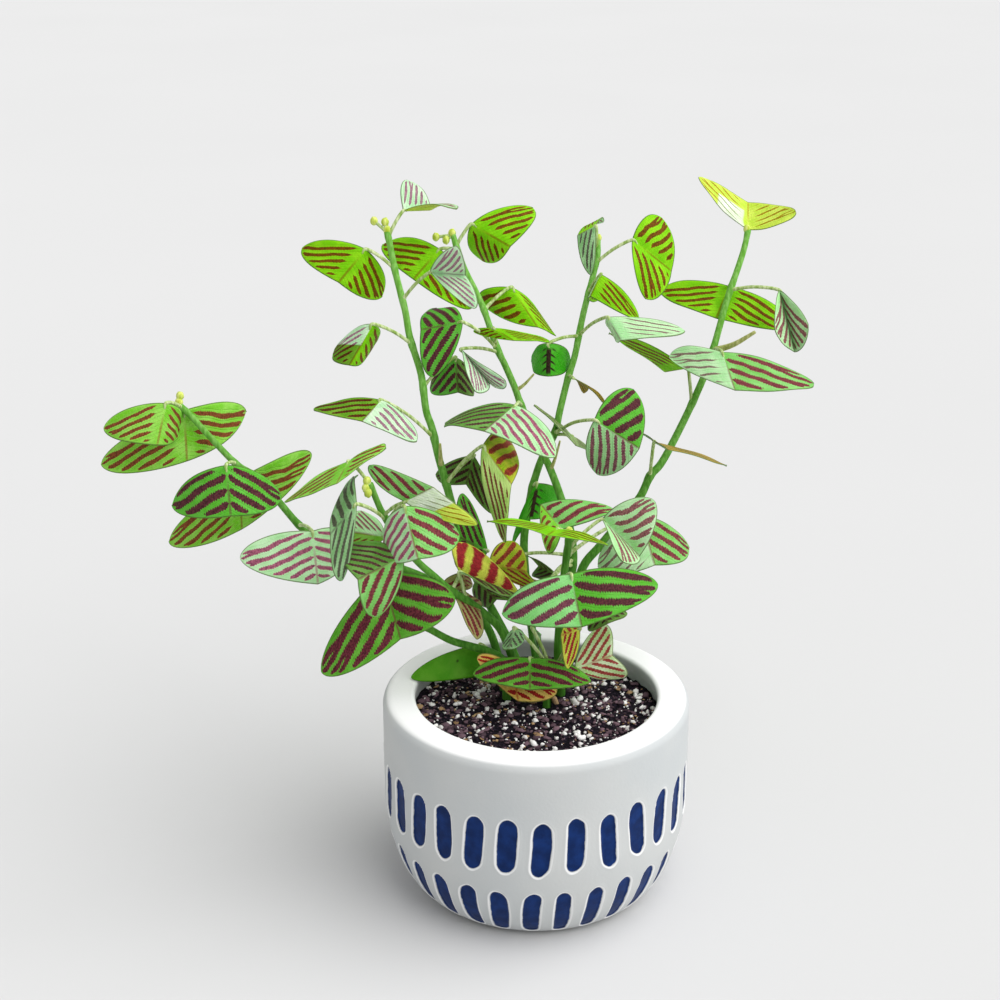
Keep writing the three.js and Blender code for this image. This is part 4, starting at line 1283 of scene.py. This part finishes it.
def make_grains(name, settings, material):
    mesh = Mesh()
    source = random.Random(settings["seed"])
    small, large = settings["sizes"]
    for place in scatter(settings["count"], source, large * 0.8):
        size = small + (large - small) * source.random() ** 3
        stretch = (1.0, source.uniform(0.5, 0.9), source.uniform(*settings["flat"]))
        lift = size * stretch[2] * GRAIN_LIFT
        centre = Vector((place.x, place.y, soil_height(place.x, place.y) + lift))
        turn = source.uniform(0, math.pi)
        add_grain(mesh, centre, size, stretch, turn, source.random(), source)
    mesh.build(name, [material], ["soil"])


# --------------------------------------------------------------------------- room

FLOOR = {"half": 6.0, "drop": 0.0002}  # in metres
KEY_LIGHT = {"direction": (-0.58, 0.21, -0.79), "strength": 2.9, "softness": 75}
WORLD_STRENGTH = 0.56


def make_floor():
    mesh = bpy.data.meshes.new("floor")
    half = FLOOR["half"]
    corners = [(-half, -half, 0), (half, -half, 0), (half, half, 0), (-half, half, 0)]
    mesh.from_pydata(corners, [], [(0, 1, 2, 3)])
    mesh.materials.append(floor_material())
    floor = bpy.data.objects.new("floor", mesh)
    bpy.context.scene.collection.objects.link(floor)
    floor.location.z = -FLOOR["drop"]


def make_camera():
    camera = bpy.data.cameras.new("camera")
    camera.sensor_width = 36
    camera.lens = SHEET["steps_per_radian"] / 1000 * camera.sensor_width
    holder = bpy.data.objects.new("camera", camera)
    holder.location = eye * MM
    holder.rotation_euler = (math.pi / 2 - SHEET["look_down"], 0, 0)
    bpy.context.scene.collection.objects.link(holder)
    bpy.context.scene.camera = holder


def make_light(name, direction, strength, softness):
    """A distant light that shines along a direction."""
    sun = bpy.data.lights.new(name, "SUN")
    sun.energy = strength
    sun.angle = math.radians(softness)
    holder = bpy.data.objects.new(name, sun)
    holder.rotation_euler = Vector(direction).to_track_quat("-Z", "Y").to_euler()
    bpy.context.scene.collection.objects.link(holder)


def make_room():
    make_floor()
    make_camera()
    make_light("key", **KEY_LIGHT)
    world = bpy.data.worlds.new("studio")
    world.use_nodes = True
    background = world.node_tree.nodes["Background"]
    background.inputs["Color"].default_value = (1.0, 1.0, 1.0, 1.0)
    background.inputs["Strength"].default_value = WORLD_STRENGTH
    bpy.context.scene.world = world
    bpy.context.scene.view_settings.view_transform = "Standard"


# ----------------------------------------------------------------------- assembly


def make_materials():
    materials = {"leaf_plain": plain_leaf_material()}
    for name in [*TONES, *PATCHES]:
        if name != "plain":
            materials["leaf_" + name] = leaf_material(name)
    for name in STEM_MATERIALS:
        materials[name] = grown_material(name)
    return materials


make_room()
shared = make_materials()
for number, one_stem in enumerate(STEMS):
    make_stalks(one_stem, shared)
    make_leaves(one_stem, shared, number)
husk = grain_material("husk", 0.9)
make_dry_stub(husk)
make_pot(pot_material())
make_soil(soil_material())
make_grains("perlite_grains", PERLITE, grain_material("perlite", 0.85))
make_grains("bark_chips", BARK, grain_material("bark", 0.9))
make_grains("husk_chips", HUSKS, husk)
